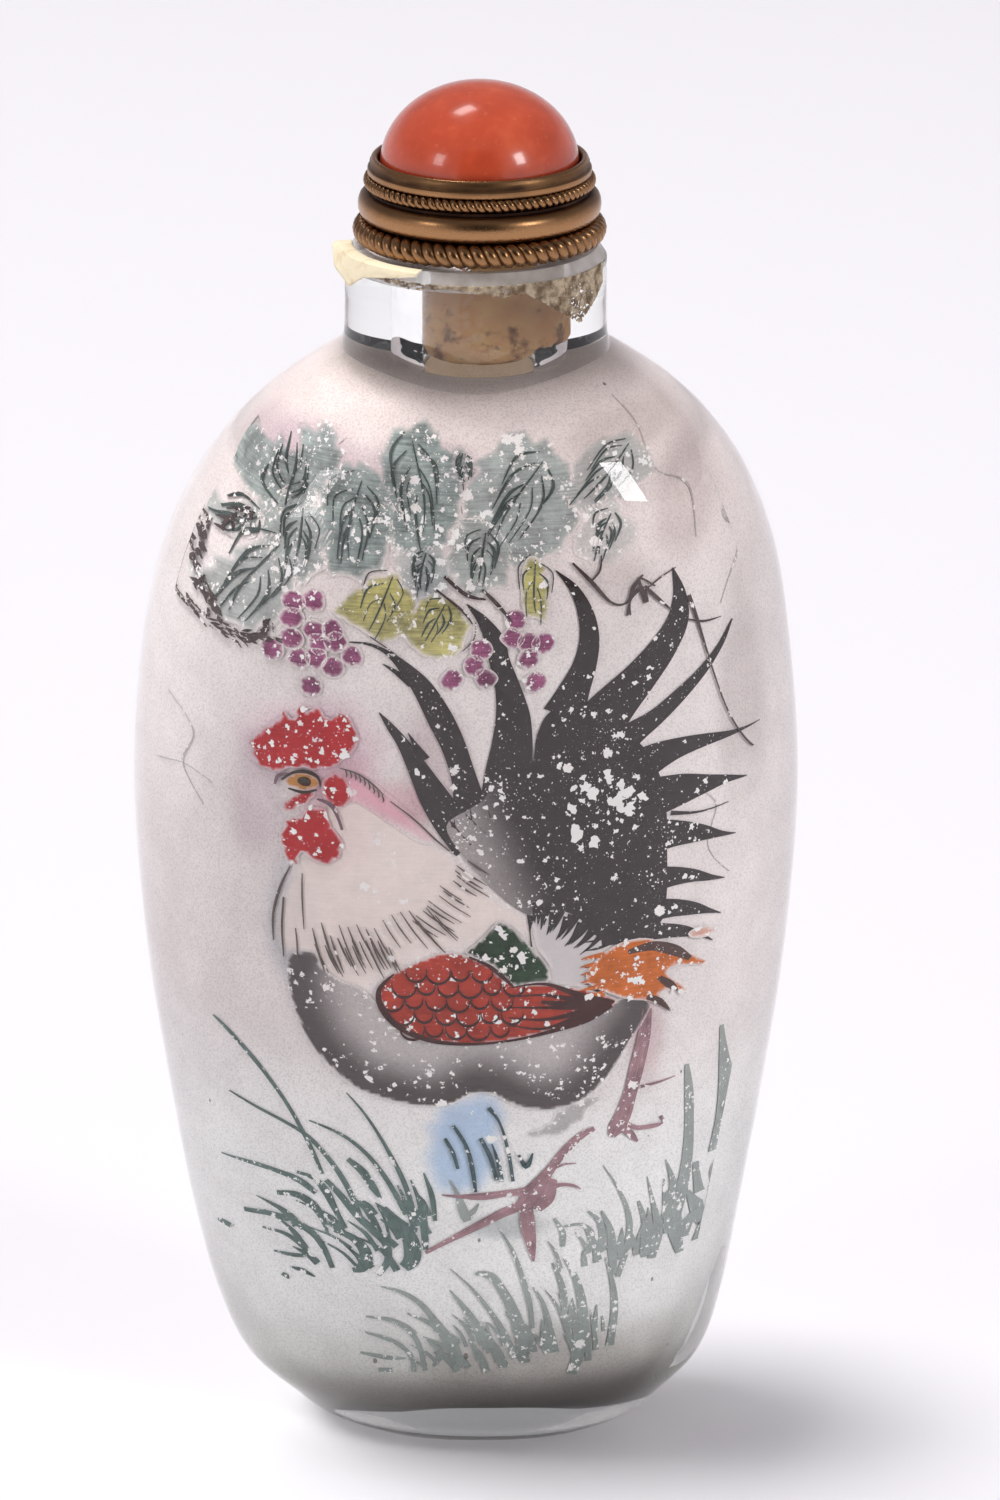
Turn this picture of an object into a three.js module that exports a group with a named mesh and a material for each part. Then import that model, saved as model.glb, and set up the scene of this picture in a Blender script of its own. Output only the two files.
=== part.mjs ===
// Inside-painted glass snuff bottle with a cork stopper, brass collar and coral-red cabochon.
// Millimetres, +Z up. The bottle stands on z = 0 and its painted front faces -Y.
// The body is hand-blown, so its foot, neck and stopper sit a little to the +X side of its middle.
import * as THREE from 'three';

// ---- driving dimensions ---------------------------------------------------------------------

// Outside of the body: height, half-width and half-depth, from the foot to the root of the neck.
const BODY_OUTLINE = [
  [0, 8.6, 6.4],
  [1, 10.7, 7.9],
  [2.5, 12.4, 9.1],
  [5, 14.8, 10.6],
  [9, 16.3, 11.5],
  [15, 17.6, 12.2],
  [23, 19, 12.8],
  [32, 20.3, 13.4],
  [42, 21, 13.8],
  [50, 20.6, 13.8],
  [57, 19.5, 13.3],
  [62, 17.6, 12.5],
  [65.5, 15.3, 11.5],
  [68, 12.8, 10.2],
  [70, 10, 8.4],
  [71.2, 8, 7],
];
const SQUARENESS = 2.3; // 2 is a plain ellipse; the body is a little fuller at its corners
const FOOT_OFFSET = 0.9; // sideways, to +X
const FOOT_DRIFT_HEIGHT = 18; // the body is back in line from here up
const NECK_OFFSET = 0.6;
const NECK_DRIFT_START = 50;
const BORE_OFFSET = 0.75;
const STOPPER_OFFSET = 0.85;

const NECK_RADIUS = 8.15;
const NECK_ROOT_RADIUS = 8.4; // the neck flares slightly into the shoulder
const MOUTH_HEIGHT = 77.45;
const LIP_BEVEL_HEIGHT = 0.8; // ground bevel round the mouth
const LIP_BEVEL_WIDTH = 0.55;
const BORE_RADIUS = 3.6;

const SIDE_WALL = 4.4; // glass is thick at the narrow sides
const FRONT_WALL = 3;
const FLOOR_HEIGHT = 3.6;
const FLOOR_CORNER_RADIUS = 2.4;
const CEILING_START = 63; // where the cavity starts to close in below the neck
const CEILING_HEIGHT = 70;
const CAVITY_OFFSET = -0.4; // the cavity leans to -X of the glass round it

const COLLAR_BASE = 77.75;
const COLLAR_TOP = 83.05;
const COLLAR_SOCKET_RADIUS = 3.7;
const COLLAR_SOCKET_TOP = 80.6;
const BEZEL_SEAT = 82.3;
const BEZEL_INNER_RADIUS = 6.3;

const LOWER_ROPE = { ring: 7.12, wire: 0.76, height: 78.42, sides: 4, twists: 15, stepsPerLobe: 3 };
const UPPER_ROPE = { ring: 6.78, wire: 0.43, height: 81.5, sides: 3, twists: 29, stepsPerLobe: 3 };

const CABOCHON_RADIUS = 6.2;
const CABOCHON_BASE = 82.42;
const CABOCHON_RISE = 5.25;

const CORK_BOTTOM = 71.6;
const CORK_BOTTOM_RADIUS = 3.2;
const CORK_TOP = 80.4;
const CORK_TOP_RADIUS = 3.38;

const PAPER_THICKNESS = 0.14;

const AROUND = 40; // facets round the body and the stopper

// ---- materials ------------------------------------------------------------------------------

const material = (color, roughness, metalness, extra = {}) =>
  new THREE.MeshStandardMaterial({ color, roughness, metalness, ...extra });

const GLASS = material(0xe9e7e8, 0.05, 0, { transparent: true, opacity: 0.45 });
const BRASS = material(0x8a6a3c, 0.38, 1);
const ROPE_BRASS = material(0x7d5b34, 0.42, 1);
const CORAL = material(0xc4492c, 0.18, 0);
const CORK = material(0xa9824f, 0.9, 0);
const PAPER = material(0xe3d6ad, 0.85, 0);

// ---- helpers --------------------------------------------------------------------------------

const lerp = THREE.MathUtils.lerp;
const smooth = THREE.MathUtils.smoothstep;
const range = (count) => Array.from({ length: count }, (_, i) => i);
const spread = (from, to, count) => range(count).map((i) => lerp(from, to, i / (count - 1)));

// Closed body from rings of points. Every ring has as many points, anticlockwise from above, and
// the rings run outwards from the underside, up, and inwards again. first and last close the ends;
// without them the rings close on themselves, as in a wire ring.
function ringSolid(rings, first, last) {
  const around = rings[0].length;
  const position = rings.flat().flatMap((p) => [p.x, p.y, p.z]);
  const index = [];
  const joins = first ? rings.length - 1 : rings.length;
  for (const row of range(joins)) {
    const next = (row + 1) % rings.length;
    for (const i of range(around)) {
      const j = (i + 1) % around;
      const [a, b] = [row * around + i, row * around + j];
      const [c, d] = [next * around + i, next * around + j];
      index.push(a, b, d, a, d, c);
    }
  }
  if (first) {
    const bottom = position.length / 3;
    const top = bottom + 1;
    const lastRing = (rings.length - 1) * around;
    position.push(first.x, first.y, first.z, last.x, last.y, last.z);
    for (const i of range(around)) {
      const j = (i + 1) % around;
      index.push(bottom, j, i, top, lastRing + i, lastRing + j);
    }
  }
  const geometry = new THREE.BufferGeometry();
  geometry.setAttribute('position', new THREE.Float32BufferAttribute(position, 3));
  geometry.setIndex(index);
  geometry.computeVertexNormals();
  return geometry;
}

// Turned solid: LatheGeometry spins round Y, so it is tipped to stand along Z.
function turned(profile, around = AROUND) {
  const points = profile.map(([radius, height]) => new THREE.Vector2(radius, height));
  return new THREE.LatheGeometry(points, around).rotateX(Math.PI / 2);
}

function named(name, geometry, finish, x = 0) {
  const mesh = new THREE.Mesh(geometry, finish);
  mesh.name = name;
  mesh.position.x = x;
  return mesh;
}

// ---- bottle ---------------------------------------------------------------------------------

const BODY_TOP = BODY_OUTLINE.at(-1)[0];

// Smooth curve through one column of the outline, read as a half-size at a height.
function halfSizes(column) {
  const knots = BODY_OUTLINE.map((row) => new THREE.Vector2(row[0], row[column]));
  const samples = new THREE.SplineCurve(knots).getPoints(600);
  return (z) => {
    const after = Math.max(1, samples.findIndex((p) => p.x >= Math.min(z, BODY_TOP)));
    const [low, high] = [samples[after - 1], samples[after]];
    return lerp(low.y, high.y, (z - low.x) / (high.x - low.x));
  };
}
const halfWidth = halfSizes(1);
const halfDepth = halfSizes(2);

// How far the middle of the body has drifted to +X at a height.
function drift(z) {
  const foot = FOOT_OFFSET * Math.max(0, 1 - z / FOOT_DRIFT_HEIGHT) ** 2;
  return foot + NECK_OFFSET * smooth(z, NECK_DRIFT_START, BODY_TOP);
}

function outside(z) {
  return { x: drift(z), a: halfWidth(z), b: halfDepth(z), z, n: SQUARENESS };
}

function inside(z) {
  const shell = outside(z);
  return { ...shell, x: shell.x + CAVITY_OFFSET, a: shell.a - SIDE_WALL, b: shell.b - FRONT_WALL };
}

// Distance from a section's middle to its edge in one direction.
function reach({ a, b, n }, angle) {
  const across = Math.abs(Math.cos(angle)) / a;
  const along = Math.abs(Math.sin(angle)) / b;
  return (across ** n + along ** n) ** (-1 / n);
}

const ANGLES = range(AROUND).map((i) => (i / AROUND) * 2 * Math.PI);

function ringAt(section) {
  return ANGLES.map((angle) => {
    const r = reach(section, angle);
    return new THREE.Vector3(section.x + r * Math.cos(angle), r * Math.sin(angle), section.z);
  });
}

// Height at which the shoulder is as narrow as the neck's root, in one direction.
function seamHeight(angle) {
  let [low, high] = [CEILING_START, BODY_TOP];
  for (const _ of range(40)) {
    const middle = (low + high) / 2;
    if (reach(outside(middle), angle) > NECK_ROOT_RADIUS) low = middle;
    else high = middle;
  }
  return low;
}

// Shoulder ring part of the way from level ground to the seam, which dips at front and back.
const SHOULDER_START = 60;
function shoulderRing(share) {
  return ANGLES.map((angle) => {
    const z = lerp(SHOULDER_START, seamHeight(angle), share);
    const section = outside(z);
    const r = reach(section, angle);
    return new THREE.Vector3(section.x + r * Math.cos(angle), r * Math.sin(angle), z);
  });
}

const round = (x, radius, z) => ringAt({ x, a: radius, b: radius, z, n: 2 });

function bottleGeometry() {
  const body = [0, 0.5, 1, 1.7, 2.5, 3.6, 5, 7, 9, 12, 16, 21, 26, 32, 38, 44, 50, 56];
  const shoulder = [0, 0.25, 0.47, 0.65, 0.8, 0.91, 1];
  const bevelFoot = MOUTH_HEIGHT - LIP_BEVEL_HEIGHT;
  const neck = [
    round(NECK_OFFSET, NECK_RADIUS, 72.6),
    round(NECK_OFFSET, NECK_RADIUS, bevelFoot),
    round(NECK_OFFSET, NECK_RADIUS - LIP_BEVEL_WIDTH, MOUTH_HEIGHT),
    round(BORE_OFFSET, BORE_RADIUS + 0.2, MOUTH_HEIGHT),
    round(BORE_OFFSET, BORE_RADIUS, MOUTH_HEIGHT - 0.2),
  ];
  const startSection = inside(CEILING_START);
  const ceiling = spread(Math.PI / 2, 0, 7).map((tilt) => {
    const closing = Math.cos(tilt);
    return ringAt({
      x: lerp(BORE_OFFSET, startSection.x, closing),
      a: lerp(BORE_RADIUS, startSection.a, closing),
      b: lerp(BORE_RADIUS, startSection.b, closing),
      z: lerp(CEILING_START, CEILING_HEIGHT, Math.sin(tilt)),
      n: lerp(2, SQUARENESS, closing),
    });
  });
  const walls = [58, 52, 45, 38, 31, 24, 17, 11].map((z) => ringAt(inside(z)));
  const corner = spread(0, Math.PI / 2, 5).map((turn) => {
    const z = FLOOR_HEIGHT + FLOOR_CORNER_RADIUS * (1 - Math.sin(turn));
    const shrink = FLOOR_CORNER_RADIUS * (1 - Math.cos(turn));
    const section = inside(z);
    return ringAt({ ...section, a: section.a - shrink, b: section.b - shrink });
  });
  const rings = [
    ...body.map((z) => ringAt(outside(z))),
    ...shoulder.map(shoulderRing),
    ...neck,
    ...ceiling,
    ...walls,
    ...corner,
  ];
  const foot = new THREE.Vector3(drift(0), 0, 0);
  const floor = new THREE.Vector3(inside(FLOOR_HEIGHT).x, 0, FLOOR_HEIGHT);
  return ringSolid(rings, foot, floor);
}

// ---- stopper --------------------------------------------------------------------------------

// Round swelling between two heights, as a few points of an arc.
function bulge(radius, swell, from, to, count) {
  return spread(0, Math.PI, count).map((turn) => [
    radius + swell * Math.sin(turn),
    lerp(from, to, (1 - Math.cos(turn)) / 2),
  ]);
}

function collarGeometry() {
  return turned([
    [0, COLLAR_SOCKET_TOP],
    [COLLAR_SOCKET_RADIUS, COLLAR_SOCKET_TOP],
    [COLLAR_SOCKET_RADIUS, COLLAR_BASE],
    [6.2, COLLAR_BASE],
    [6.2, 79.05], // behind the lower rope wire
    [7.1, 79.2],
    ...bulge(7.2, 0.36, 79.25, 80.8, 5), // broad plain band
    [6.85, 80.85],
    [6.85, 81.02], // dark groove
    [6.25, 81.1],
    [6.25, 81.9], // behind the upper rope wire
    [6.95, 82],
    [6.95, 82.35],
    [6.82, 82.5],
    [6.82, 82.75],
    [6.66, COLLAR_TOP],
    [6.45, COLLAR_TOP],
    [BEZEL_INNER_RADIUS, 82.9],
    [BEZEL_INNER_RADIUS, BEZEL_SEAT],
    [0, BEZEL_SEAT],
  ]);
}

// Square or three-cornered wire, twisted along its length and bent into a ring. Each corner shows
// as a lobe once in every twist.
function ropeGeometry({ ring, wire, height, sides, twists, stepsPerLobe }) {
  const steps = twists * sides * stepsPerLobe;
  const rings = range(steps).map((step) => {
    const angle = (step / steps) * 2 * Math.PI;
    return range(sides).map((side) => {
      const turn = twists * angle - (side / sides) * 2 * Math.PI;
      const r = ring + wire * Math.cos(turn);
      return new THREE.Vector3(
        r * Math.cos(angle),
        r * Math.sin(angle),
        height + wire * Math.sin(turn),
      );
    });
  });
  return ringSolid(rings);
}

function cabochonGeometry() {
  const dome = spread(0, Math.PI / 2, 9).map((turn) => [
    CABOCHON_RADIUS * Math.cos(turn),
    CABOCHON_BASE + CABOCHON_RISE * Math.sin(turn),
  ]);
  dome.at(-1)[0] = 0;
  return turned([[0, CABOCHON_BASE], ...dome], 36);
}

function corkGeometry() {
  return turned(
    [
      [0, CORK_BOTTOM],
      [CORK_BOTTOM_RADIUS - 0.25, CORK_BOTTOM],
      [CORK_BOTTOM_RADIUS, CORK_BOTTOM + 0.25],
      [CORK_TOP_RADIUS, COLLAR_BASE],
      [CORK_TOP_RADIUS, CORK_TOP],
      [0, CORK_TOP],
    ],
    24,
  );
}

// Torn scrap: held flat between lip and collar, then bent down outside the lip.
function paperGeometry() {
  const [start, end, steps] = [Math.PI * 1.34, Math.PI * 0.98, 9];
  const rings = spread(0, 1, steps).map((share) => {
    const angle = lerp(start, end, share);
    const hang = 1.35 * Math.sin(Math.PI * (0.92 - 0.8 * share)) ** 1.5;
    const outer = 8.6 + 0.35 * share;
    const across = [
      [7.7, MOUTH_HEIGHT + 0.08],
      [8.5, MOUTH_HEIGHT - 0.05],
      [outer, MOUTH_HEIGHT - 0.25 - hang],
    ];
    const faces = [
      ...across.map(([r, z]) => [r, z]),
      ...across.toReversed().map(([r, z]) => [r + PAPER_THICKNESS, z + PAPER_THICKNESS]),
    ];
    return faces.map(([r, z]) => new THREE.Vector3(r * Math.cos(angle), r * Math.sin(angle), z));
  });
  const middle = (ring) =>
    ring.reduce((sum, p) => sum.add(p), new THREE.Vector3()).divideScalar(ring.length);
  return ringSolid(rings, middle(rings[0]), middle(rings.at(-1)));
}

// ---- the whole ------------------------------------------------------------------------------

const snuffBottle = new THREE.Group();
snuffBottle.add(
  named('bottle', bottleGeometry(), GLASS),
  named('cork', corkGeometry(), CORK, STOPPER_OFFSET),
  named('stopper_collar', collarGeometry(), BRASS, STOPPER_OFFSET),
  named('lower_rope_wire', ropeGeometry(LOWER_ROPE), ROPE_BRASS, STOPPER_OFFSET),
  named('upper_rope_wire', ropeGeometry(UPPER_ROPE), ROPE_BRASS, STOPPER_OFFSET),
  named('cabochon', cabochonGeometry(), CORAL, STOPPER_OFFSET),
  named('paper_scrap', paperGeometry(), PAPER, NECK_OFFSET),
);

export default snuffBottle;
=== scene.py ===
"""Looks of an inside-painted glass snuff bottle: glass, frosted lining, painted picture and stopper."""

import bisect
import contextlib
import math
import random

import bmesh
import bpy
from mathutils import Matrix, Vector, noise
from mathutils.geometry import delaunay_2d_cdt


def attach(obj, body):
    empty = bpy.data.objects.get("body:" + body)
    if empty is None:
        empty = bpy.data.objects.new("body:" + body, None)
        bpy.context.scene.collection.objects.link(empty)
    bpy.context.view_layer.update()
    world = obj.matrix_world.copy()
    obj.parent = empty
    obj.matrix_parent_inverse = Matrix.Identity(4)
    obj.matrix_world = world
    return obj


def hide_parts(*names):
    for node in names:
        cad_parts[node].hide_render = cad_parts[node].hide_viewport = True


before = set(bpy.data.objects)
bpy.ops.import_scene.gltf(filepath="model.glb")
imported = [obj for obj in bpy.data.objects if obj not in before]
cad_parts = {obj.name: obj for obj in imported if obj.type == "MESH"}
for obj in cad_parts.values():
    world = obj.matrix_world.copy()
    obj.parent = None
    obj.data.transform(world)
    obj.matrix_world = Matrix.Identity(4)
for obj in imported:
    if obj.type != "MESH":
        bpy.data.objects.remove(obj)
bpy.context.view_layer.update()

bl_info = {
    "name": "Inside-painted snuff bottle",
    "version": (1, 0, 0),
    "blender": (4, 5, 0),
    "location": "View3D > Sidebar > Snuff Bottle",
    "description": "Dresses a snuff bottle: glass, frosted lining, painted cockerel, brass and coral stopper",
    "category": "Object",
}

MM = 0.001
# Points nearer than this, in metres, are one point.
WELD_DISTANCE = 1e-7

# ---- driving dimensions, in millimetres, as in the part's own source -------------------------

# Outside of the body: height, half-width and half-depth, from the foot to the root of the neck.
BODY_OUTLINE = [
    (0, 8.6, 6.4),
    (1, 10.7, 7.9),
    (2.5, 12.4, 9.1),
    (5, 14.8, 10.6),
    (9, 16.3, 11.5),
    (15, 17.6, 12.2),
    (23, 19, 12.8),
    (32, 20.3, 13.4),
    (42, 21, 13.8),
    (50, 20.6, 13.8),
    (57, 19.5, 13.3),
    (62, 17.6, 12.5),
    (65.5, 15.3, 11.5),
    (68, 12.8, 10.2),
    (70, 10, 8.4),
    (71.2, 8, 7),
]
BODY_TOP = BODY_OUTLINE[-1][0]
SQUARENESS = 2.3
# The smooth body is drawn in by this share, so that it stays within the faceted one.
SMOOTH_EASE = 0.9985
FOOT_OFFSET = 0.9
FOOT_DRIFT_HEIGHT = 18
NECK_OFFSET = 0.6
NECK_DRIFT_START = 50
BORE_OFFSET = 0.75
STOPPER_OFFSET = 0.85
NECK_RADIUS = 8.15
NECK_ROOT_RADIUS = 8.4
NECK_ROOT_FLARE = 0.06
NECK_START = 72.6
MOUTH_HEIGHT = 77.45
LIP_BEVEL_HEIGHT = 0.8
LIP_BEVEL_WIDTH = 0.55
BORE_RADIUS = 3.6
FLOOR_HEIGHT = 3.6
FLOOR_CORNER_RADIUS = 2.4
CEILING_START = 63
CEILING_HEIGHT = 70
CAVITY_OFFSET = -0.4
SHOULDER_START = 60

ROOT_BODY = "root"


def tone(red, green, blue):
    """A colour given by its display values, 0 to 255, as the linear values that Blender keeps."""
    def linear(value):
        share = value / 255
        return share / 12.92 if share <= 0.04045 else ((share + 0.055) / 1.055) ** 2.4
    return (linear(red), linear(green), linear(blue))


# ---- settings a user would change ------------------------------------------------------------

def distance(name, description, value, low=0.0):
    return bpy.props.FloatProperty(
        name=name, description=description, default=value * MM, min=low * MM,
        subtype="DISTANCE", unit="LENGTH", precision=5)


def share_of(name, description, value):
    return bpy.props.FloatProperty(
        name=name, description=description, default=value, min=0.0, max=1.0, subtype="FACTOR")


def paint_colour(name, description, value):
    return bpy.props.FloatVectorProperty(
        name=name, description=description, default=tone(*value), min=0.0, max=1.0,
        size=3, subtype="COLOR")


class GlassSettings(bpy.types.PropertyGroup):
    """Walls and clarity of the glass."""
    side_wall: distance("Side wall", "Glass thickness at the narrow sides", 4.4, 1)
    front_wall: distance("Front wall", "Glass thickness at the painted front and the back", 3.0, 1)
    tint: paint_colour("Tint", "Colour of the clear glass", (252, 254, 252))
    roughness: share_of("Roughness", "Roughness of the polished outside", 0.0)


class PaintSettings(bpy.types.PropertyGroup):
    """Colours of the lining and of the painted picture."""
    lift: distance("Coat thickness", "Step between one coat of paint and the next", 0.035, 0.01)
    ground: paint_colour("Ground", "Frosted lining at the middle of the bottle", (240, 230, 230))
    ground_top: paint_colour("Shoulder ground", "Frosted lining below the neck", (236, 220, 217))
    # Its paleness is painted light: it stands in for light that shines through the frosted wall from behind.
    low_ground_with_painted_backlight: paint_colour("Lower ground", "Frosted lining in the lower third", (250, 248, 248))
    # Partly grey-green dirt, partly painted shade from the floor below.
    foot_ground_shade_and_dirt: paint_colour("Foot ground", "Frosted lining above the foot", (186, 186, 180))
    leaf: paint_colour("Leaf", "Grey-green of the vine leaves", (147, 155, 153))
    young_leaf: paint_colour("Young leaf", "Yellow-green of the young leaves", (182, 172, 104))
    grape: paint_colour("Grape", "Purple of the grapes", (138, 68, 107))
    twig: paint_colour("Twig", "Brown-black of twigs and tendrils", (72, 58, 58))
    comb: paint_colour("Comb", "Red of the comb and wattles", (174, 18, 26))
    hackle: paint_colour("Hackle", "Cream of the neck feathers", (226, 210, 205))
    tail: paint_colour("Tail", "Black of the tail feathers", (50, 41, 42))
    breast: paint_colour("Breast", "Dark grey of breast and belly", (78, 68, 69))
    wing: paint_colour("Wing", "Rust red of the wing", (176, 48, 24))
    saddle: paint_colour("Saddle", "Green of the saddle feathers", (28, 58, 30))
    covert: paint_colour("Coverts", "Orange of the tail coverts", (198, 98, 18))
    thigh: paint_colour("Thigh", "Blue wash of the thigh", (128, 172, 216))
    foot: paint_colour("Foot", "Mauve of legs and toes", (158, 120, 128))
    grass: paint_colour("Grass", "Grey-green of the grass", (92, 112, 108))


class StopperSettings(bpy.types.PropertyGroup):
    """Sizes and colours of the stopper."""
    brass: paint_colour("Brass", "Aged brass of the collar", (166, 124, 86))
    coral: paint_colour("Coral", "Orange-red of the bead", (186, 72, 44))
    cork: paint_colour("Cork", "Tan of the cork", (164, 118, 78))
    paper: paint_colour("Paper", "Cream of the torn scrap", (246, 232, 200))
    rope_detail: bpy.props.IntProperty(
        name="Wire detail", description="Points along one twist of a rope wire", default=14, min=6)


class StageSettings(bpy.types.PropertyGroup):
    """Camera, floor and lights."""
    distance: distance("Camera distance", "From the camera to the middle of the bottle", 600, 100)
    elevation: bpy.props.FloatProperty(
        name="Elevation", description="How far the camera looks down", default=math.radians(18),
        subtype="ANGLE", unit="ROTATION")
    target_height: distance("Target height", "Height that the camera looks at", 43)
    lens: bpy.props.FloatProperty(
        name="Lens", description="Focal length", default=227.8, min=1, subtype="DISTANCE_CAMERA")
    shift_x: bpy.props.FloatProperty(
        name="Shift X", description="Sideways shift of the view", default=0.0227)
    shift_y: bpy.props.FloatProperty(
        name="Shift Y", description="Upward shift of the view", default=0.0133)
    floor: paint_colour("Floor", "Colour of the floor and backdrop", (246, 243, 247))


# ---- small helpers ---------------------------------------------------------------------------

def lerp(low, high, share):
    return low + (high - low) * share


def smoothstep(value, low, high):
    share = min(max((value - low) / (high - low), 0.0), 1.0)
    return share * share * (3 - 2 * share)


def spread(low, high, count):
    return [lerp(low, high, i / (count - 1)) for i in range(count)]


def catmull(before, start, end, after, share):
    """A point between start and end on the smooth curve through four knots of any dimension."""
    squared, cubed = share ** 2, share ** 3
    point = []
    for p0, p1, p2, p3 in zip(before, start, end, after):
        leave, arrive = (p2 - p0) / 2, (p3 - p1) / 2
        point.append((2 * p1 - 2 * p2 + leave + arrive) * cubed
                     + (3 * p2 - 3 * p1 - 2 * leave - arrive) * squared + leave * share + p1)
    return tuple(point)


def smooth_line(knots, steps, closed=False):
    """Points of the smooth curve through the knots, so many to a span."""
    count = len(knots)

    def knot(i):
        return knots[i % count] if closed else knots[min(max(i, 0), count - 1)]
    line = []
    for span in range(count if closed else count - 1):
        near = [knot(span + k) for k in (-1, 0, 1, 2)]
        line += [catmull(*near, step / steps) for step in range(steps)]
    return line if closed else line + [tuple(knots[-1])]


def mesh_object(name, points, faces, smooth=True):
    """A new object at the origin from points in millimetres."""
    mesh = bpy.data.meshes.new(name)
    mesh.from_pydata([Vector(p) * MM for p in points], [], faces)
    mesh.validate()
    mesh.polygons.foreach_set("use_smooth", [smooth] * len(mesh.polygons))
    piece = bpy.data.objects.new(name, mesh)
    bpy.context.scene.collection.objects.link(piece)
    return piece


def dress(piece, material, replaced=()):
    """The finish, material slot and body of a finished piece."""
    piece.data.materials.clear()
    piece.data.materials.append(material)
    if replaced:
        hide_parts(*replaced)
    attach(piece, ROOT_BODY)
    return piece


def point_values(piece, name, values):
    """A number for each point of a piece, which its material can read."""
    layer = piece.data.attributes.new(name, "FLOAT", "POINT")
    layer.data.foreach_set("value", values)


@contextlib.contextmanager
def edited(piece):
    """Opens a piece's mesh for editing and puts it back."""
    mesh = bmesh.new()
    mesh.from_mesh(piece.data)
    yield mesh
    mesh.to_mesh(piece.data)
    mesh.free()


def sharpen(piece, degrees):
    """Smooth shading with crisp edges where faces meet at more than this angle."""
    with edited(piece) as mesh:
        for edge in mesh.edges:
            if len(edge.link_faces) == 2:
                edge.smooth = edge.calc_face_angle() < math.radians(degrees)


def ring_faces(rows, around, first=None, last=None):
    """Faces between rings of points that run up the outside; first and last close the ends."""
    pairs = [(i, (i + 1) % around) for i in range(around)]
    faces = []
    for low in range(0, (rows - 1) * around, around):
        faces += [(low + i, low + j, low + around + j, low + around + i) for i, j in pairs]
    if first is not None:
        top = (rows - 1) * around
        for i, j in pairs:
            faces += [(first, j, i), (last, top + i, top + j)]
    return faces


def ring_solid(name, rings, first, last):
    """A closed body from rings of points, anticlockwise from above, closed by two end points."""
    points = [point for ring in rings for point in ring]
    faces = ring_faces(len(rings), len(rings[0]), len(points), len(points) + 1)
    return mesh_object(name, points + [first, last], faces)


def even_angles(count):
    return [2 * math.pi * i / count for i in range(count)]


def round_ring(x, radius, z, angles):
    return [(x + radius * math.cos(a), radius * math.sin(a), z) for a in angles]


def turned(name, profile, around):
    """A turned solid from a profile of (radius, height) that starts and ends on the stopper's axis."""
    angles = even_angles(around)
    rings = [round_ring(STOPPER_OFFSET, r, z, angles) for r, z in profile[1:-1]]
    ends = [(STOPPER_OFFSET, 0, z) for _, z in (profile[0], profile[-1])]
    return ring_solid(name, rings, *ends)


# ---- shape of the bottle ---------------------------------------------------------------------

def half_sizes(column):
    """Reads the outline's half-width (column 1) or half-depth (column 2) at a height."""
    knots = [(row[0], row[column]) for row in BODY_OUTLINE]
    line = smooth_line(knots, 40)
    heights = [point[0] for point in line]

    def size_at(z):
        z = min(max(z, 0.0), BODY_TOP)
        after = min(max(bisect.bisect_left(heights, z), 1), len(line) - 1)
        (low, a), (high, b) = line[after - 1], line[after]
        return lerp(a, b, (z - low) / (high - low))
    return size_at


half_width = half_sizes(1)
half_depth = half_sizes(2)


def drift(z):
    """How far the middle of the body has drifted to +X at a height."""
    foot = FOOT_OFFSET * max(0.0, 1 - z / FOOT_DRIFT_HEIGHT) ** 2
    return foot + NECK_OFFSET * smoothstep(z, NECK_DRIFT_START, BODY_TOP)


def outside(z):
    """The body's section at a height: middle, half-width, half-depth and squareness."""
    return drift(z), half_width(z) * SMOOTH_EASE, half_depth(z) * SMOOTH_EASE, SQUARENESS


def inside(z, grow=0.0):
    """The cavity's section at a height, grown into the glass by so much."""
    glass = bpy.context.scene.bottle_glass
    level = min(max(z, FLOOR_HEIGHT), CEILING_START)
    x = drift(level) + CAVITY_OFFSET
    a = half_width(level) - glass.side_wall / MM
    b = half_depth(level) - glass.front_wall / MM
    n = SQUARENESS
    rise = min(max((FLOOR_HEIGHT + FLOOR_CORNER_RADIUS - z) / FLOOR_CORNER_RADIUS, 0.0), 1.0)
    shrink = FLOOR_CORNER_RADIUS * (1 - math.sqrt(1 - rise ** 2))
    a, b = a - shrink, b - shrink
    if z > CEILING_START:
        share = min((z - CEILING_START) / (CEILING_HEIGHT - CEILING_START), 1.0)
        closing = math.sqrt(1 - share ** 2)
        x = lerp(BORE_OFFSET, x, closing)
        a, b = lerp(BORE_RADIUS, a, closing), lerp(BORE_RADIUS, b, closing)
        n = lerp(2, SQUARENESS, closing)
    return x, a + grow, b + grow, n


def reach(section, angle):
    """Distance from a section's middle to its edge in one direction."""
    _, a, b, n = section
    return ((abs(math.cos(angle)) / a) ** n + (abs(math.sin(angle)) / b) ** n) ** (-1 / n)


def section_point(section, z, angle, share=1.0):
    """A point so far out, as a share, from a section's middle towards its edge."""
    r = share * reach(section, angle)
    return (section[0] + r * math.cos(angle), r * math.sin(angle), z)


def section_ring(section, z, angles, share=1.0):
    return [section_point(section, z, angle, share) for angle in angles]


def seam_height(angle):
    """Height at which the shoulder is as narrow as the neck's root, in one direction."""
    low, high = CEILING_START, BODY_TOP
    for _ in range(30):
        middle = (low + high) / 2
        if reach(outside(middle), angle) > NECK_ROOT_RADIUS:
            low = middle
        else:
            high = middle
    return low


def shoulder_ring(share, angles, seam):
    """Ring part of the way from level ground to the seam, which dips at front and back."""
    heights = [lerp(SHOULDER_START, top, share) for top in seam]
    return [section_point(outside(z), z, angle) for z, angle in zip(heights, angles)]


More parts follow.
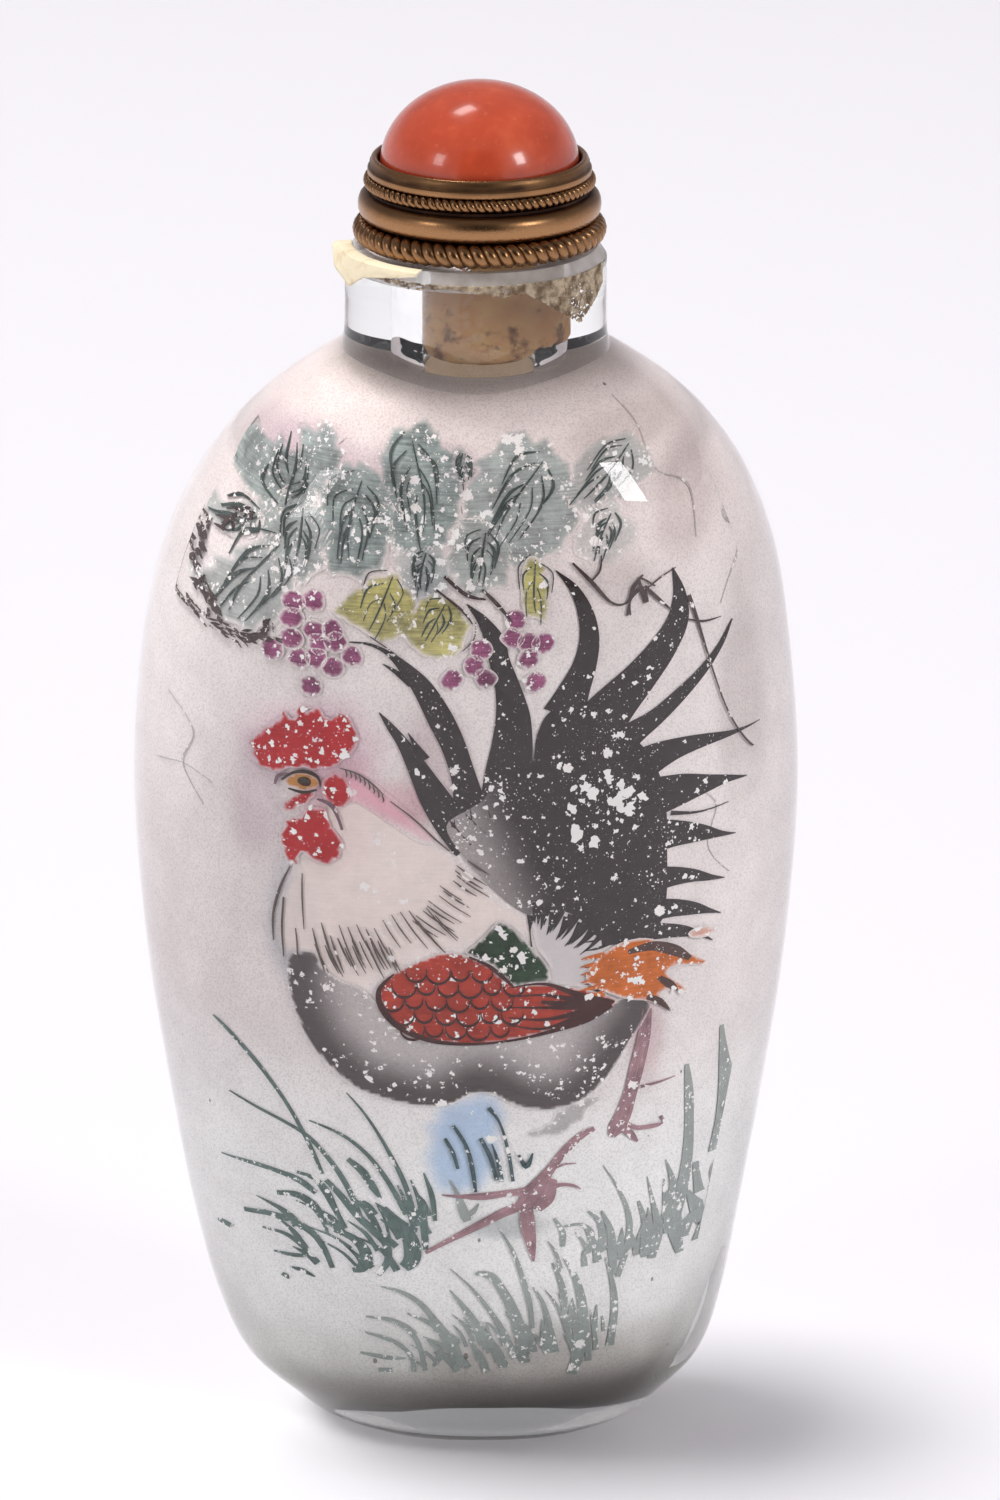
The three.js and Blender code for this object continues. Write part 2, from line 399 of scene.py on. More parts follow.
def cavity_heights(step):
    """Heights of rings down the cavity wall, closer at the ceiling and the floor corner."""
    closing = [lerp(CEILING_START, CEILING_HEIGHT, math.sin(t)) for t in spread(math.pi / 2, 0, 22)]
    count = int((CEILING_START - FLOOR_HEIGHT - FLOOR_CORNER_RADIUS) / step)
    walls = spread(CEILING_START, FLOOR_HEIGHT + FLOOR_CORNER_RADIUS, count)[1:]
    corner = [FLOOR_HEIGHT + FLOOR_CORNER_RADIUS * (1 - math.sin(t)) for t in spread(0, math.pi / 2, 12)]
    return closing + walls + corner[1:]


def wall_point(x, z, lift, face=-1):
    """A point of the painted wall, so many millimetres into the glass; face is -1 for the front."""
    middle, a, b, n = inside(z, lift)
    across = min(abs((x - middle) / a), 0.997)
    return (middle + math.copysign(a * across, x - middle), face * b * (1 - across ** n) ** (1 / n), z)


# ---- shader groups ---------------------------------------------------------------------------

class Shader:
    """Short ways to add and join the nodes of one tree."""

    def __init__(self, tree):
        self.tree = tree

    def node(self, kind, sources=None, **settings):
        """A new node with its settings; sources go to its inputs, by label or number."""
        made = self.tree.nodes.new(kind)
        for name, value in settings.items():
            setattr(made, name, value)
        for label, source in (sources or {}).items():
            self.plug(source, made.inputs[label])
        return made

    def plug(self, source, target):
        """Joins a socket, or sets a plain value, on an input socket."""
        if isinstance(source, bpy.types.NodeSocket):
            self.tree.links.new(source, target)
        else:
            target.default_value = (*source, 1.0) if target.type == "RGBA" else source

    def math(self, operation, *values, clamp=False):
        made = self.node("ShaderNodeMath", dict(enumerate(values)), operation=operation, use_clamp=clamp)
        return made.outputs[0]

    def vector(self, operation, *values):
        return self.node("ShaderNodeVectorMath", dict(enumerate(values)), operation=operation).outputs[0]

    def scaled(self, vector, scale):
        return self.node("ShaderNodeVectorMath", {0: vector, "Scale": scale}, operation="SCALE").outputs[0]

    def mix(self, factor, first, second, blend="MIX"):
        """A colour between two colours."""
        sources = {"Factor": factor, 6: first, 7: second}
        return self.node("ShaderNodeMix", sources, data_type="RGBA", blend_type=blend).outputs[2]

    def ramp(self, value, low, high, to_low=0.0, to_high=1.0):
        """Smooth step of a value between two bounds."""
        sources = dict(enumerate((value, low, high, to_low, to_high)))
        return self.node("ShaderNodeMapRange", sources, interpolation_type="SMOOTHSTEP").outputs[0]

    def noise(self, where, scale, detail=2.0, roughness=0.5, output="Fac"):
        sources = {"Vector": where, "Scale": scale, "Detail": detail, "Roughness": roughness}
        return self.node("ShaderNodeTexNoise", sources).outputs[output]

    def spots(self, where, scale):
        """Distance to the middle of the nearest cell, and that cell's random values."""
        made = self.node("ShaderNodeTexVoronoi", {"Vector": where, "Scale": scale}).outputs
        return made["Distance"], made["Color"]

    def stretched(self, where, scale):
        return self.node("ShaderNodeMapping", {"Vector": where, "Scale": scale}).outputs[0]

    def part(self, vector, axis="Z"):
        """One of a vector's three values."""
        return self.node("ShaderNodeSeparateXYZ", {0: vector}).outputs[axis]

    def bump(self, height, strength, distance_mm):
        sources = {"Height": height, "Strength": strength, "Distance": distance_mm * MM}
        return self.node("ShaderNodeBump", sources).outputs[0]

    def place(self):
        """Object coordinates."""
        return self.node("ShaderNodeTexCoord").outputs["Object"]

    def attribute(self, name):
        return self.node("ShaderNodeAttribute", attribute_name=name).outputs["Fac"]

    def group(self, name, **values):
        """Outputs of a shared group; its inputs are named with underscores for spaces."""
        sources = {label.replace("_", " "): value for label, value in values.items()}
        return self.node("ShaderNodeGroup", sources, node_tree=bpy.data.node_groups[name]).outputs


def new_group(name, inputs, outputs, kind="ShaderNodeTree"):
    """An empty group; inputs are (label, type, default) and outputs (label, type)."""
    tree = bpy.data.node_groups.new(name, kind)
    for label, value_type, value in inputs:
        socket = tree.interface.new_socket(label, in_out="INPUT", socket_type="NodeSocket" + value_type)
        if value is not None:
            socket.default_value = value
    for label, value_type in outputs:
        tree.interface.new_socket(label, in_out="OUTPUT", socket_type="NodeSocket" + value_type)
    shader = Shader(tree)
    return shader, shader.node("NodeGroupInput").outputs, shader.node("NodeGroupOutput").inputs


def wash_mask(shader, place, ragged, centre, half_size):
    """A soft-edged oval area round a centre (x, z), in millimetres; ragged gives its watery edge."""
    (x, z), (across, up) = centre, half_size
    oval = shader.node("ShaderNodeMapping", {
        "Vector": place,
        "Scale": (1 / (across * MM), 0.0, 1 / (up * MM)),
        "Location": (-x / across, 0.0, -z / up),
    }).outputs[0]
    length = shader.node("ShaderNodeVectorMath", {0: oval}, operation="LENGTH").outputs["Value"]
    return shader.ramp(shader.math("ADD", length, ragged), WASH_START, WASH_END, 1.0, 0.0)


# Soft stains of the lining, one of them low down partly painted shade: centre, half-size, colour and
# strength.
WASHES = [
    ((-9.0, 48.2), (4.4, 3.2), (226, 180, 206), 0.5),
    ((-7.6, 43.6), (2.6, 4.2), (236, 176, 194), 0.6),
    ((-12.4, 44.0), (2.0, 4.6), (208, 194, 204), 0.5),
    ((-4.0, 44.6), (2.6, 1.6), (228, 166, 182), 0.5),
    ((-1.8, 47.2), (2.4, 4.2), (196, 178, 184), 0.5),
    ((-9.5, 65.6), (3.8, 1.6), (220, 204, 220), 0.6),
    ((-2.5, 65.2), (4.4, 1.8), (214, 202, 216), 0.6),
    ((-2.4, 58.9), (1.5, 1.9), (172, 186, 194), 0.7),
    ((8.6, 58.2), (3.0, 1.6), (206, 198, 196), 0.4),
    ((12.4, 62.0), (1.6, 4.0), (206, 198, 197), 0.5),
    ((9.5, 66.4), (4.0, 1.4), (196, 188, 186), 0.5),
    ((15.6, 50.0), (1.2, 8.0), (206, 199, 199), 0.5),
    ((-10.5, 36.6), (1.7, 4.6), (180, 192, 202), 0.6),
    ((10.8, 28.4), (1.2, 3.4), (214, 178, 186), 0.5),
    # Grey low in the middle: dirt together with painted shade from the floor.
    ((5.0, 5.4), (9.0, 4.0), (176, 168, 164), 0.7),
    ((2.6, 16.2), (2.6, 1.0), (186, 192, 194), 0.7),
]


# Where a stain's soft edge starts and ends, as a share of its half-size.
WASH_START = 0.4
WASH_END = 1.24
# How far fine noise shakes the round flecks, in metres.
TEAR = 0.0005


def build_ground_group(paints):
    """Colour of the frosted lining: pale, mauve at the shoulder; paled in the lower third by painted light
    through the wall; grey-green dirt with painted shade towards the foot and under the neck.
    """
    shader, _, out = new_group("frosted_ground", [], [("Color", "Color"), ("Grain", "Float")])
    place = shader.place()
    level = shader.math("MULTIPLY", shader.part(place), 1 / MM)
    waver = shader.math("MULTIPLY_ADD", shader.noise(place, 90.0), 8.0, -4.0)
    waved = shader.math("ADD", level, waver)
    colour = paints.ground
    for height, low, high, share, shade in (
        (waved, 50.0, 72.0, 1.0, paints.ground_top),
        # Painted light: the lower third is paled in place of the light let through the frosted wall.
        (waved, 32.0, 18.0, 1.0, paints.low_ground_with_painted_backlight),
        # Darker towards the foot, and darkest just above the cavity floor: dirt together with painted shade
        # from the floor.
        (waved, 13.0, 2.0, 1.0, paints.foot_ground_shade_and_dirt),
        (level, 6.6, 3.6, 0.85, tone(112, 104, 100)),
        # Darker where the cavity closes under the neck: dirt together with painted shade in that recess.
        (level, 68.4, 70.2, 0.7, tone(126, 114, 104)),
    ):
        colour = shader.mix(shader.ramp(height, low, high, 0.0, share), colour, shade)
    ragged = shader.math("MULTIPLY_ADD", shader.noise(place, 320.0, 3.0), 0.5, -0.25)
    front = shader.ramp(shader.part(place, "Y"), -2 * MM, 1 * MM, 1.0, 0.0)
    for centre, half_size, stain, strength in WASHES:
        mask = wash_mask(shader, place, ragged, centre, half_size)
        factor = shader.math("MULTIPLY", mask, shader.math("MULTIPLY", front, strength))
        colour = shader.mix(factor, colour, tone(*stain), "MULTIPLY")
    mottle = shader.ramp(shader.noise(place, 260.0, 3.0, 0.6), 0.3, 0.7)
    colour = shader.mix(shader.math("MULTIPLY", mottle, 0.16), colour, tone(176, 166, 168), "MULTIPLY")
    grain = shader.noise(place, 8000.0, 1.0, 0.7)
    colour = shader.mix(shader.ramp(grain, 0.42, 0.7, 0.0, 0.3), colour, tone(170, 160, 162), "MULTIPLY")
    shader.plug(shader.mix(speck_mask(shader, place), colour, tone(104, 90, 88)), out["Color"])
    shader.plug(grain, out["Grain"])


def speck_mask(shader, place):
    """Few fine dark specks of uneven size."""
    away, cell = shader.spots(shader.stretched(place, (1.0, 1.0, 0.7)), 1100.0)
    chance = shader.math("GREATER_THAN", shader.part(cell, "X"), 0.9)
    size = shader.math("MULTIPLY", shader.math("POWER", shader.part(cell, "Y"), 2.5), 0.2)
    speck = shader.math("MULTIPLY", shader.math("LESS_THAN", away, size), chance)
    return shader.math("MULTIPLY", speck, 0.8)


def build_brush_group():
    """Streaks along a brush stroke, and ragged bare flecks where the paint has come away."""
    inputs = [("Scale", "Float", 1.0), ("Flecks", "Float", 0.5)]
    shader, given, out = new_group("brush_marks", inputs, [("Streak", "Float"), ("Fleck", "Float")])
    place = shader.place()
    brush = shader.node("ShaderNodeUVMap", uv_map="brush").outputs["UV"]
    streak = shader.noise(shader.stretched(brush, (0.5, 7.0, 1.0)), 1.0, 3.0, 0.65)
    cloud = shader.noise(place, 620.0, 3.0, 0.7)
    mixed = shader.math("MULTIPLY_ADD", streak, 0.45, shader.math("MULTIPLY", cloud, 0.55))
    contrast = shader.math("MULTIPLY", shader.math("SUBTRACT", mixed, 0.5), given["Scale"])
    shader.plug(shader.math("ADD", contrast, 0.5, clamp=True), out["Streak"])
    patchy = shader.ramp(shader.noise(place, 300.0, 2.0, 0.6), 0.36, 0.68)
    chance = shader.math("MULTIPLY", given["Flecks"], shader.math("ADD", patchy, 0.18))
    torn = torn_place(shader, place)
    fine = fleck_mask(shader, torn, 3400.0, chance, 0.5)
    coarse = fleck_mask(shader, torn, 1300.0, shader.math("MULTIPLY", chance, 0.55), 0.42)
    shader.plug(shader.math("MAXIMUM", fine, coarse), out["Fleck"])


def torn_place(shader, place):
    """Object coordinates shaken by fine noise, which makes round spots ragged."""
    shake = shader.noise(place, 6500.0, output="Color")
    centred = shader.vector("SUBTRACT", shake, (0.5, 0.5, 0.5))
    return shader.vector("MULTIPLY_ADD", centred, (TEAR, TEAR, TEAR), place)


def fleck_mask(shader, place, scale, chance, largest):
    """Scattered flecks of many sizes; chance is the share of cells that hold one."""
    away, cell = shader.spots(place, scale)
    keep = shader.math("LESS_THAN", shader.part(cell, "X"), chance)
    size = shader.math("MULTIPLY_ADD", shader.math("POWER", shader.part(cell), 2.2), largest, 0.08)
    return shader.math("MULTIPLY", shader.math("LESS_THAN", away, size), keep)


def build_wear_group():
    """Cloudy and fine variation that metal, cork, coral and paper share."""
    inputs = [("Cloud scale", "Float", 200.0), ("Grain scale", "Float", 3000.0)]
    shader, given, out = new_group("surface_variation", inputs, [("Cloud", "Float"), ("Grain", "Float")])
    place = shader.place()
    for label, detail in (("Cloud", 4.0), ("Grain", 2.0)):
        shader.plug(shader.noise(place, given[label + " scale"], detail), out[label])


# ---- materials -------------------------------------------------------------------------------

def new_material(name):
    """A new material's shader, with a Principled surface that goes to its output."""
    material = bpy.data.materials.new(name)
    material.use_nodes = True
    material.node_tree.nodes.clear()
    shader = Shader(material.node_tree)
    surface = shader.node("ShaderNodeBsdfPrincipled")
    shader.node("ShaderNodeOutputMaterial", {"Surface": surface.outputs[0]})
    return material, shader, surface


def varied_material(name, cloud_scale, grain_scale):
    """A new material with the cloud and grain of its surface variation."""
    material, shader, surface = new_material(name)
    scales = {"Cloud_scale": cloud_scale, "Grain_scale": grain_scale}
    variation = shader.group("surface_variation", **scales)
    return material, shader, surface, variation["Cloud"], variation["Grain"]


def set_surface(shader, surface, **values):
    """Values and sockets for the surface's inputs, named with underscores for spaces."""
    for label, value in values.items():
        shader.plug(value, surface.inputs[label.replace("_", " ")])


def times(colour, share):
    """A colour made darker by a share."""
    return tuple(channel * share for channel in colour)


def glass_material(settings):
    """Clear glass that lets light through to what it covers."""
    material, shader, surface = new_material("polished_glass")
    set_surface(
        shader, surface,
        Base_Color=settings.tint,
        Roughness=settings.roughness,
        IOR=1.5,
        Transmission_Weight=1.0)
    clear = shader.node("ShaderNodeBsdfTransparent", {"Color": (0.94, 0.95, 0.94)}).outputs[0]
    in_shadow = shader.node("ShaderNodeLightPath").outputs["Is Shadow Ray"]
    choose = shader.node("ShaderNodeMixShader", {0: in_shadow, 1: surface.outputs[0], 2: clear})
    shader.plug(choose.outputs[0], material.node_tree.nodes["Material Output"].inputs["Surface"])


# How strongly the cavity's side of the lining glows: a painted glow, by emission, in place of light let
# through the frosted wall.
PAINTED_GLOW_STRENGTH = 0.13


def lining_material():
    """Frosted glass, whose inner side has a faint painted glow, by emission, in place of the light that the
    wall lets through.
    """
    _, shader, surface = new_material("frosted_lining")
    ground = shader.group("frosted_ground")
    set_surface(
        shader, surface,
        Base_Color=ground["Color"],
        Roughness=shader.math("MULTIPLY_ADD", ground["Grain"], 0.2, 0.7),
        Normal=shader.bump(ground["Grain"], 0.25, 0.05),
        Specular_IOR_Level=0.1,
        # Painted glow: emission on the cavity's side, in place of light through the wall.
        Emission_Color=shader.mix(shader.attribute("daylight"), (0, 0, 0), tone(206, 190, 160)),
        Emission_Strength=PAINTED_GLOW_STRENGTH)


def paint_material(name, colour, deep=0.55, contrast=1.6, flecks=0.3, cover=1.0):
    """Watercolour on the lining: streaky, fading into the ground where it thins, and flecked."""
    material, shader, surface = new_material(name)
    ground = shader.group("frosted_ground")
    marks = shader.group("brush_marks", Scale=contrast, Flecks=flecks)
    pale = tuple(min(1.0, channel * 1.3 + 0.02) for channel in colour)
    body = shader.mix(marks["Streak"], times(colour, deep), pale)
    wash = shader.math("MULTIPLY", shader.attribute("wash"), cover)
    shown = shader.mix(wash, ground["Color"], body)
    bare = shader.mix(0.55, ground["Color"], tone(250, 247, 246))
    set_surface(
        shader, surface,
        Base_Color=shader.mix(marks["Fleck"], shown, bare),
        Roughness=0.8,
        Specular_IOR_Level=0.1,
        Normal=shader.bump(ground["Grain"], 0.25, 0.05))
    return material


def loss_material():
    """Bare frosted glass where the paint has flaked off."""
    _, shader, surface, cloud, _ = varied_material("paint_loss", 600.0, 6000.0)
    bare = shader.mix(cloud, tone(226, 220, 220), tone(252, 249, 249))
    set_surface(shader, surface, Base_Color=bare, Roughness=0.8)


def brass_material(name, colour):
    """Brass that has aged brown in its grooves and stayed bright on its crests."""
    material, shader, surface, cloud, grain = varied_material(name, 380.0, 5200.0)
    patchy = shader.math("MULTIPLY_ADD", cloud, 0.7, -0.35)
    worn = shader.math("ADD", shader.attribute("crest"), patchy, clamp=True)
    aged = shader.mix(shader.ramp(worn, 0.0, 0.45), tone(52, 36, 30), times(colour, 0.52))
    rough = shader.math("MULTIPLY_ADD", worn, -0.3, 0.52)
    set_surface(
        shader, surface,
        Base_Color=shader.mix(shader.ramp(worn, 0.45, 1.0), aged, colour),
        Metallic=1.0,
        Roughness=shader.math("MULTIPLY_ADD", grain, 0.1, rough),
        Normal=shader.bump(grain, 0.2, 0.03))
    return material


def coral_material(colour):
    """Polished coral-red bead with paler clouds and fine specks."""
    material, shader, surface, cloud, grain = varied_material("bead_coral", 520.0, 2200.0)
    pale = tone(222, 112, 72)
    body = shader.mix(shader.ramp(cloud, 0.2, 0.6), times(colour, 0.84), colour)
    body = shader.mix(shader.ramp(cloud, 0.5, 0.9, 0.0, 0.5), body, pale)
    body = shader.mix(shader.ramp(grain, 0.6, 0.8, 0.0, 0.3), body, pale)
    set_surface(shader, surface, Base_Color=body, Roughness=0.22, Coat_Weight=0.5, Coat_Roughness=0.06)
    return material


def cork_material(colour):
    """Cork with brown pores and stained bands."""
    material, shader, surface, cloud, grain = varied_material("cork_bark", 700.0, 2600.0)
    pores = shader.ramp(shader.noise(shader.place(), 480.0, 5.0, 0.65), 0.52, 0.66)
    body = shader.mix(shader.ramp(cloud, 0.3, 0.7), tone(174, 136, 92), colour)
    body = shader.mix(shader.math("MULTIPLY", pores, 0.85), body, tone(82, 48, 28))
    relief = shader.math("SUBTRACT", grain, pores)
    set_surface(shader, surface, Base_Color=body, Roughness=0.9, Normal=shader.bump(relief, 0.6, 0.15))
    return material


def paper_material(colour):
    """Old fibrous paper, browner in places."""
    material, shader, surface, cloud, grain = varied_material("torn_paper", 900.0, 4200.0)
    body = shader.mix(shader.ramp(cloud, 0.5, 0.72, 0.0, 0.6), colour, tone(206, 176, 126))
    set_surface(shader, surface, Base_Color=body, Roughness=0.9, Normal=shader.bump(grain, 0.5, 0.06))
    return material


def residue_material():
    """Crumbs of cork and old glue on the neck."""
    material, shader, surface, cloud, grain = varied_material("glue_residue", 1500.0, 6000.0)
    body = shader.mix(shader.ramp(cloud, 0.35, 0.65), tone(116, 96, 74), tone(196, 178, 152))
    set_surface(shader, surface, Base_Color=body, Roughness=0.85, Normal=shader.bump(grain, 0.9, 0.12))
    return material


# ---- brush work: strokes and patches on the painted wall --------------------------------------

# Where the points of a stroke lie across it, from edge to edge.
HARD_SIDES = (-1, 0, 1)
SOFT_SIDES = (-1, -0.72, 0, 0.72, 1)
THINNEST_STROKE = 0.03
COAT_THICKNESS = 0.02
# Seed of the noise that makes painted edges uneven.
EDGE_SEED = 5


class Brushwork:
    """Collects strokes and patches of one paint on the wall, and makes them one thin closed piece."""

    def __init__(self, coat, face=-1):
        self.coat = coat
        self.face = face
        self.points = []
        self.faces = []
        self.washes = []
        self.brush = []
        self.strokes = 0

    def add_point(self, x, z, wash, along, across):
        lift = (self.coat + 1.5) * bpy.context.scene.bottle_paint.lift / MM
        self.points.append(wall_point(x, z, lift, self.face))
        self.washes.append(wash)
        self.brush.append((along, across))
        return len(self.points) - 1

    def stroke(self, knots, steps=6, wash=1.0, soft=False):
        """A stroke through knots of (x, z, width); a soft one thins towards its edges."""
        line = smooth_line(knots, steps)
        self.strokes += 1
        sides = SOFT_SIDES if soft else HARD_SIDES
        along = 0.0
        rows = []
        for i, (x, z, width) in enumerate(line):
            before, after = line[max(i - 1, 0)], line[min(i + 1, len(line) - 1)]
            dx, dz = after[0] - before[0], after[1] - before[1]
            length = math.hypot(dx, dz) or 1.0
            along += length / 2
            row = []
            for side in sides:
                out = side * max(width, THINNEST_STROKE) / 2
                density = 0.0 if soft and abs(side) == 1 else wash
                spot = (x - dz / length * out, z + dx / length * out)
                row.append(self.add_point(*spot, density, along, self.strokes * 3.7 + side * width))
            rows.append(row)
        for low, high in zip(rows, rows[1:]):
            self.faces += [(low[k], high[k], high[k + 1], low[k + 1]) for k in range(len(sides) - 1)]
        return self

    def draw(self, table, steps=6, **looks):
        """Every stroke of a table."""
        for knots in table:
            self.stroke(knots, steps, **looks)
        return self

    def patch(self, outline, spacing=0.55, wash=1.0, edge=0.0, steps=5, shade=None, rough=0.0):
        """A filled area with a smooth outline of (x, z); edge is the width of its thin rim."""
        noise.seed_set(EDGE_SEED)
        border = [roughened(point, rough) for point in smooth_line(outline, steps, closed=True)]
        self.strokes += 1
        inner = hex_points(border, spacing, edge)
        filled = delaunay_2d_cdt(border + inner, [], [list(range(len(border)))], 1, 1e-6)
        start = len(self.points)
        for spot in filled[0]:
            density = wash
            if edge:
                density *= smoothstep(border_distance(spot, border), 0.0, edge)
            if shade is not None:
                density *= shade(spot.x, spot.y)
            self.add_point(spot.x, spot.y, density, spot.x, spot.y + self.strokes * 2.3)
        self.faces += [tuple(start + i for i in triangle) for triangle in filled[2]]
        return self

    def blob(self, x, z, across, along, edge=0.0, seed=1):
        """A slightly uneven oval."""
        rng = random.Random(seed)
        outline = []
        for turn in even_angles(8):
            wobble = rng.uniform(0.9, 1.1)
            u, v = across / 2 * wobble * math.cos(turn), along / 2 * wobble * math.sin(turn)
            outline.append((x + u, z + v))
        return self.patch(outline, spacing=0.5, edge=edge, steps=3)

    def surface(self, name):
        """The painted area as one thin sheet that faces the viewer, with a crisp border."""
        sheet = mesh_object(name, self.points, [self.towards_viewer(face) for face in self.faces])
        with edited(sheet) as mesh:
            for edge in mesh.edges:
                edge.smooth = len(edge.link_faces) > 1
        return sheet

    def make(self, name, material):
        """The finished piece, with a thin back and rim."""
        piece = self.surface(name)
        uv = piece.data.uv_layers.new(name="brush")
        for loop in piece.data.loops:
            uv.data[loop.index].uv = self.brush[loop.vertex_index]
        point_values(piece, "wash", self.washes)
        thicken(piece, "Coat", COAT_THICKNESS, -1)
        return dress(piece, material)

    def towards_viewer(self, face):
        """The face in the order that makes it point out of the glass."""
        area = 0.0
        for i, j in zip(face, (*face[1:], face[0])):
            area += self.points[i][0] * self.points[j][2] - self.points[j][0] * self.points[i][2]
        return face if area * -self.face > 0 else tuple(reversed(face))


def thicken(piece, name, thickness, offset):
    """Gives a sheet its thickness, by a modifier."""
    solid = piece.modifiers.new(name, "SOLIDIFY")
    solid.thickness = thickness * MM
    solid.offset = offset


def roughened(point, rough):
    """A border point moved a little by broad and fine noise, for an uneven painted edge."""
    x, z = point
    broad = noise.noise_vector(Vector((x * 1.7, z * 1.7, 3.0)))
    fine = noise.noise_vector(Vector((x * 5, z * 5, 8.0)))
    shift = broad + fine * 0.5
    return Vector((x + shift.x * rough, z + shift.y * rough))


def border_distance(spot, border):
    """Distance from a spot to the nearest piece of a closed border."""
    nearest = 1e9
    for start, end in zip(border, border[1:] + border[:1]):
        run = end - start
        share = min(max((spot - start).dot(run) / (run.length_squared or 1.0), 0.0), 1.0)
        nearest = min(nearest, (spot - start - run * share).length)
    return nearest


def is_within(spot, border):
    """Whether a spot lies inside a closed border."""
    within = False
    for start, end in zip(border, border[1:] + border[:1]):
        if (start.y > spot.y) != (end.y > spot.y):
            if spot.x < start.x + (end.x - start.x) * (spot.y - start.y) / (end.y - start.y):
                within = not within
    return within


# Height of a row of close-packed points, as a share of their spacing.
HEX_ROW = 0.87


def hex_points(border, spacing, edge):
    """Evenly packed points inside a border, closer where it has a thin rim."""
    low_x, high_x = min(p.x for p in border), max(p.x for p in border)
    low_z, high_z = min(p.y for p in border), max(p.y for p in border)
    if edge:
        spacing = min(spacing, max(edge * 0.6, 0.25))
    step = spacing * HEX_ROW
    points = []
    for row in range(int((high_z - low_z) / step) + 1):
        x = low_x + (0.25 if row % 2 else 0.75) * spacing
        while x < high_x:
            spot = Vector((x, low_z + (row + 0.5) * spacing * HEX_ROW))
            if is_within(spot, border) and border_distance(spot, border) > spacing * 0.3:
                points.append(spot)
            x += spacing
    return points


# ---- losses: flakes of bare lining scattered over the paint -----------------------------------

# Height of the flakes above the paint, in coats.
LOSS_LIFT = 1.4


def build_loss_tree():
    """Geometry Nodes that scatter ragged flakes over a painted piece."""
    inputs = [
        ("Geometry", "Geometry", None),
        ("Density", "Float", 1.0e6),
        ("Smallest", "Float", 0.00005),
        ("Largest", "Float", 0.0003),
        ("Patchiness", "Float", 0.5),
        ("Patch size", "Float", 300.0),
        ("Seed", "Int", 1),
        ("Finish", "Material", None),
    ]
    shader, given, out = new_group("paint_losses", inputs, [("Geometry", "Geometry")], "GeometryNodeTree")
    where = shader.node("GeometryNodeInputPosition").outputs[0]
    cloud = shader.noise(where, given["Patch size"], 1.0)
    low = shader.math("MULTIPLY", given["Patchiness"], 0.55)
    patchy = shader.node("ShaderNodeMapRange", {"Value": cloud, "From Min": low, "From Max": 0.75}).outputs[0]
    scatter = shader.node("GeometryNodeDistributePointsOnFaces", {
        "Mesh": given["Geometry"],
        "Density": shader.math("MULTIPLY", given["Density"], patchy),
        "Seed": given["Seed"],
    }).outputs
    stored = {"Geometry": scatter["Points"], "Name": "flake_middle", "Value": where}
    middle = shader.node("GeometryNodeStoreNamedAttribute", stored, data_type="FLOAT_VECTOR")
    flake = shader.node("GeometryNodeMeshCircle", {"Vertices": 11, "Radius": 1.0}, fill_type="NGON")
    put = shader.node("GeometryNodeInstanceOnPoints", {
        "Points": middle.outputs[0],
        "Instance": flake.outputs[0],
        "Rotation": scatter["Rotation"],
        "Scale": flake_size(shader, given),
    })
    real = shader.node("GeometryNodeRealizeInstances", {0: put.outputs[0]})
    kept = shader.node("GeometryNodeInputNamedAttribute", {"Name": "flake_middle"}, data_type="FLOAT_VECTOR")
    outward = shader.vector("SUBTRACT", where, kept.outputs["Attribute"])
    jagged = shader.node("FunctionNodeRandomValue", {2: -0.6, 3: 0.45}, data_type="FLOAT").outputs[1]
    move = {"Geometry": real.outputs[0], "Offset": shader.scaled(outward, jagged)}
    moved = shader.node("GeometryNodeSetPosition", move).outputs[0]
    shader.plug(finished(shader, moved, given), out[0])


def flake_size(shader, given):
    """A size for each flake: most are small and few are large."""
    chance = shader.node("FunctionNodeRandomValue", {"Seed": given["Seed"]}, data_type="FLOAT").outputs[1]
    skewed = shader.math("POWER", chance, 4.5)
    size_range = shader.math("SUBTRACT", given["Largest"], given["Smallest"])
    return shader.math("MULTIPLY_ADD", skewed, size_range, given["Smallest"])


def finished(shader, geometry, given):
    """The geometry with the group's material."""
    sources = {"Geometry": geometry, "Material": given["Finish"]}
    return shader.node("GeometryNodeSetMaterial", sources).outputs[0]


def modified_copy(name, carrier, tree, values):
    """What a carrier becomes under a Geometry Nodes tree, as a plain mesh; the carrier is removed."""
    modifier = carrier.modifiers.new("Nodes", "NODES")
    modifier.node_group = bpy.data.node_groups[tree]
    for item in modifier.node_group.interface.items_tree:
        if item.item_type == "SOCKET" and item.in_out == "INPUT" and item.name in values:
            modifier[item.identifier] = values[item.name]
    bpy.context.view_layer.update()
    evaluated = carrier.evaluated_get(bpy.context.evaluated_depsgraph_get())
    piece = bpy.data.objects.new(name, bpy.data.meshes.new_from_object(evaluated))
    bpy.context.scene.collection.objects.link(piece)
    bpy.data.objects.remove(carrier)
    return piece


def add_losses(name, painted, density, smallest, largest, patchiness, patch_mm, seed):
    """Flakes lost from a painted piece, lifted just above it. Density is per square millimetre."""
    carrier = bpy.data.objects.new(name + "_carrier", painted.data.copy())
    bpy.context.scene.collection.objects.link(carrier)
    piece = modified_copy(name, carrier, "paint_losses", {
        "Density": density / MM ** 2,
        "Smallest": smallest * MM,
        "Largest": largest * MM,
        "Patchiness": patchiness,
        "Patch size": 1 / (patch_mm * MM),
        "Seed": seed,
        "Finish": bpy.data.materials["paint_loss"],
    })
    lift = LOSS_LIFT * bpy.context.scene.bottle_paint.lift
    for vertex in piece.data.vertices:
        vertex.co.y -= lift
    return dress(piece, bpy.data.materials["paint_loss"])


# ---- twisted wires ---------------------------------------------------------------------------

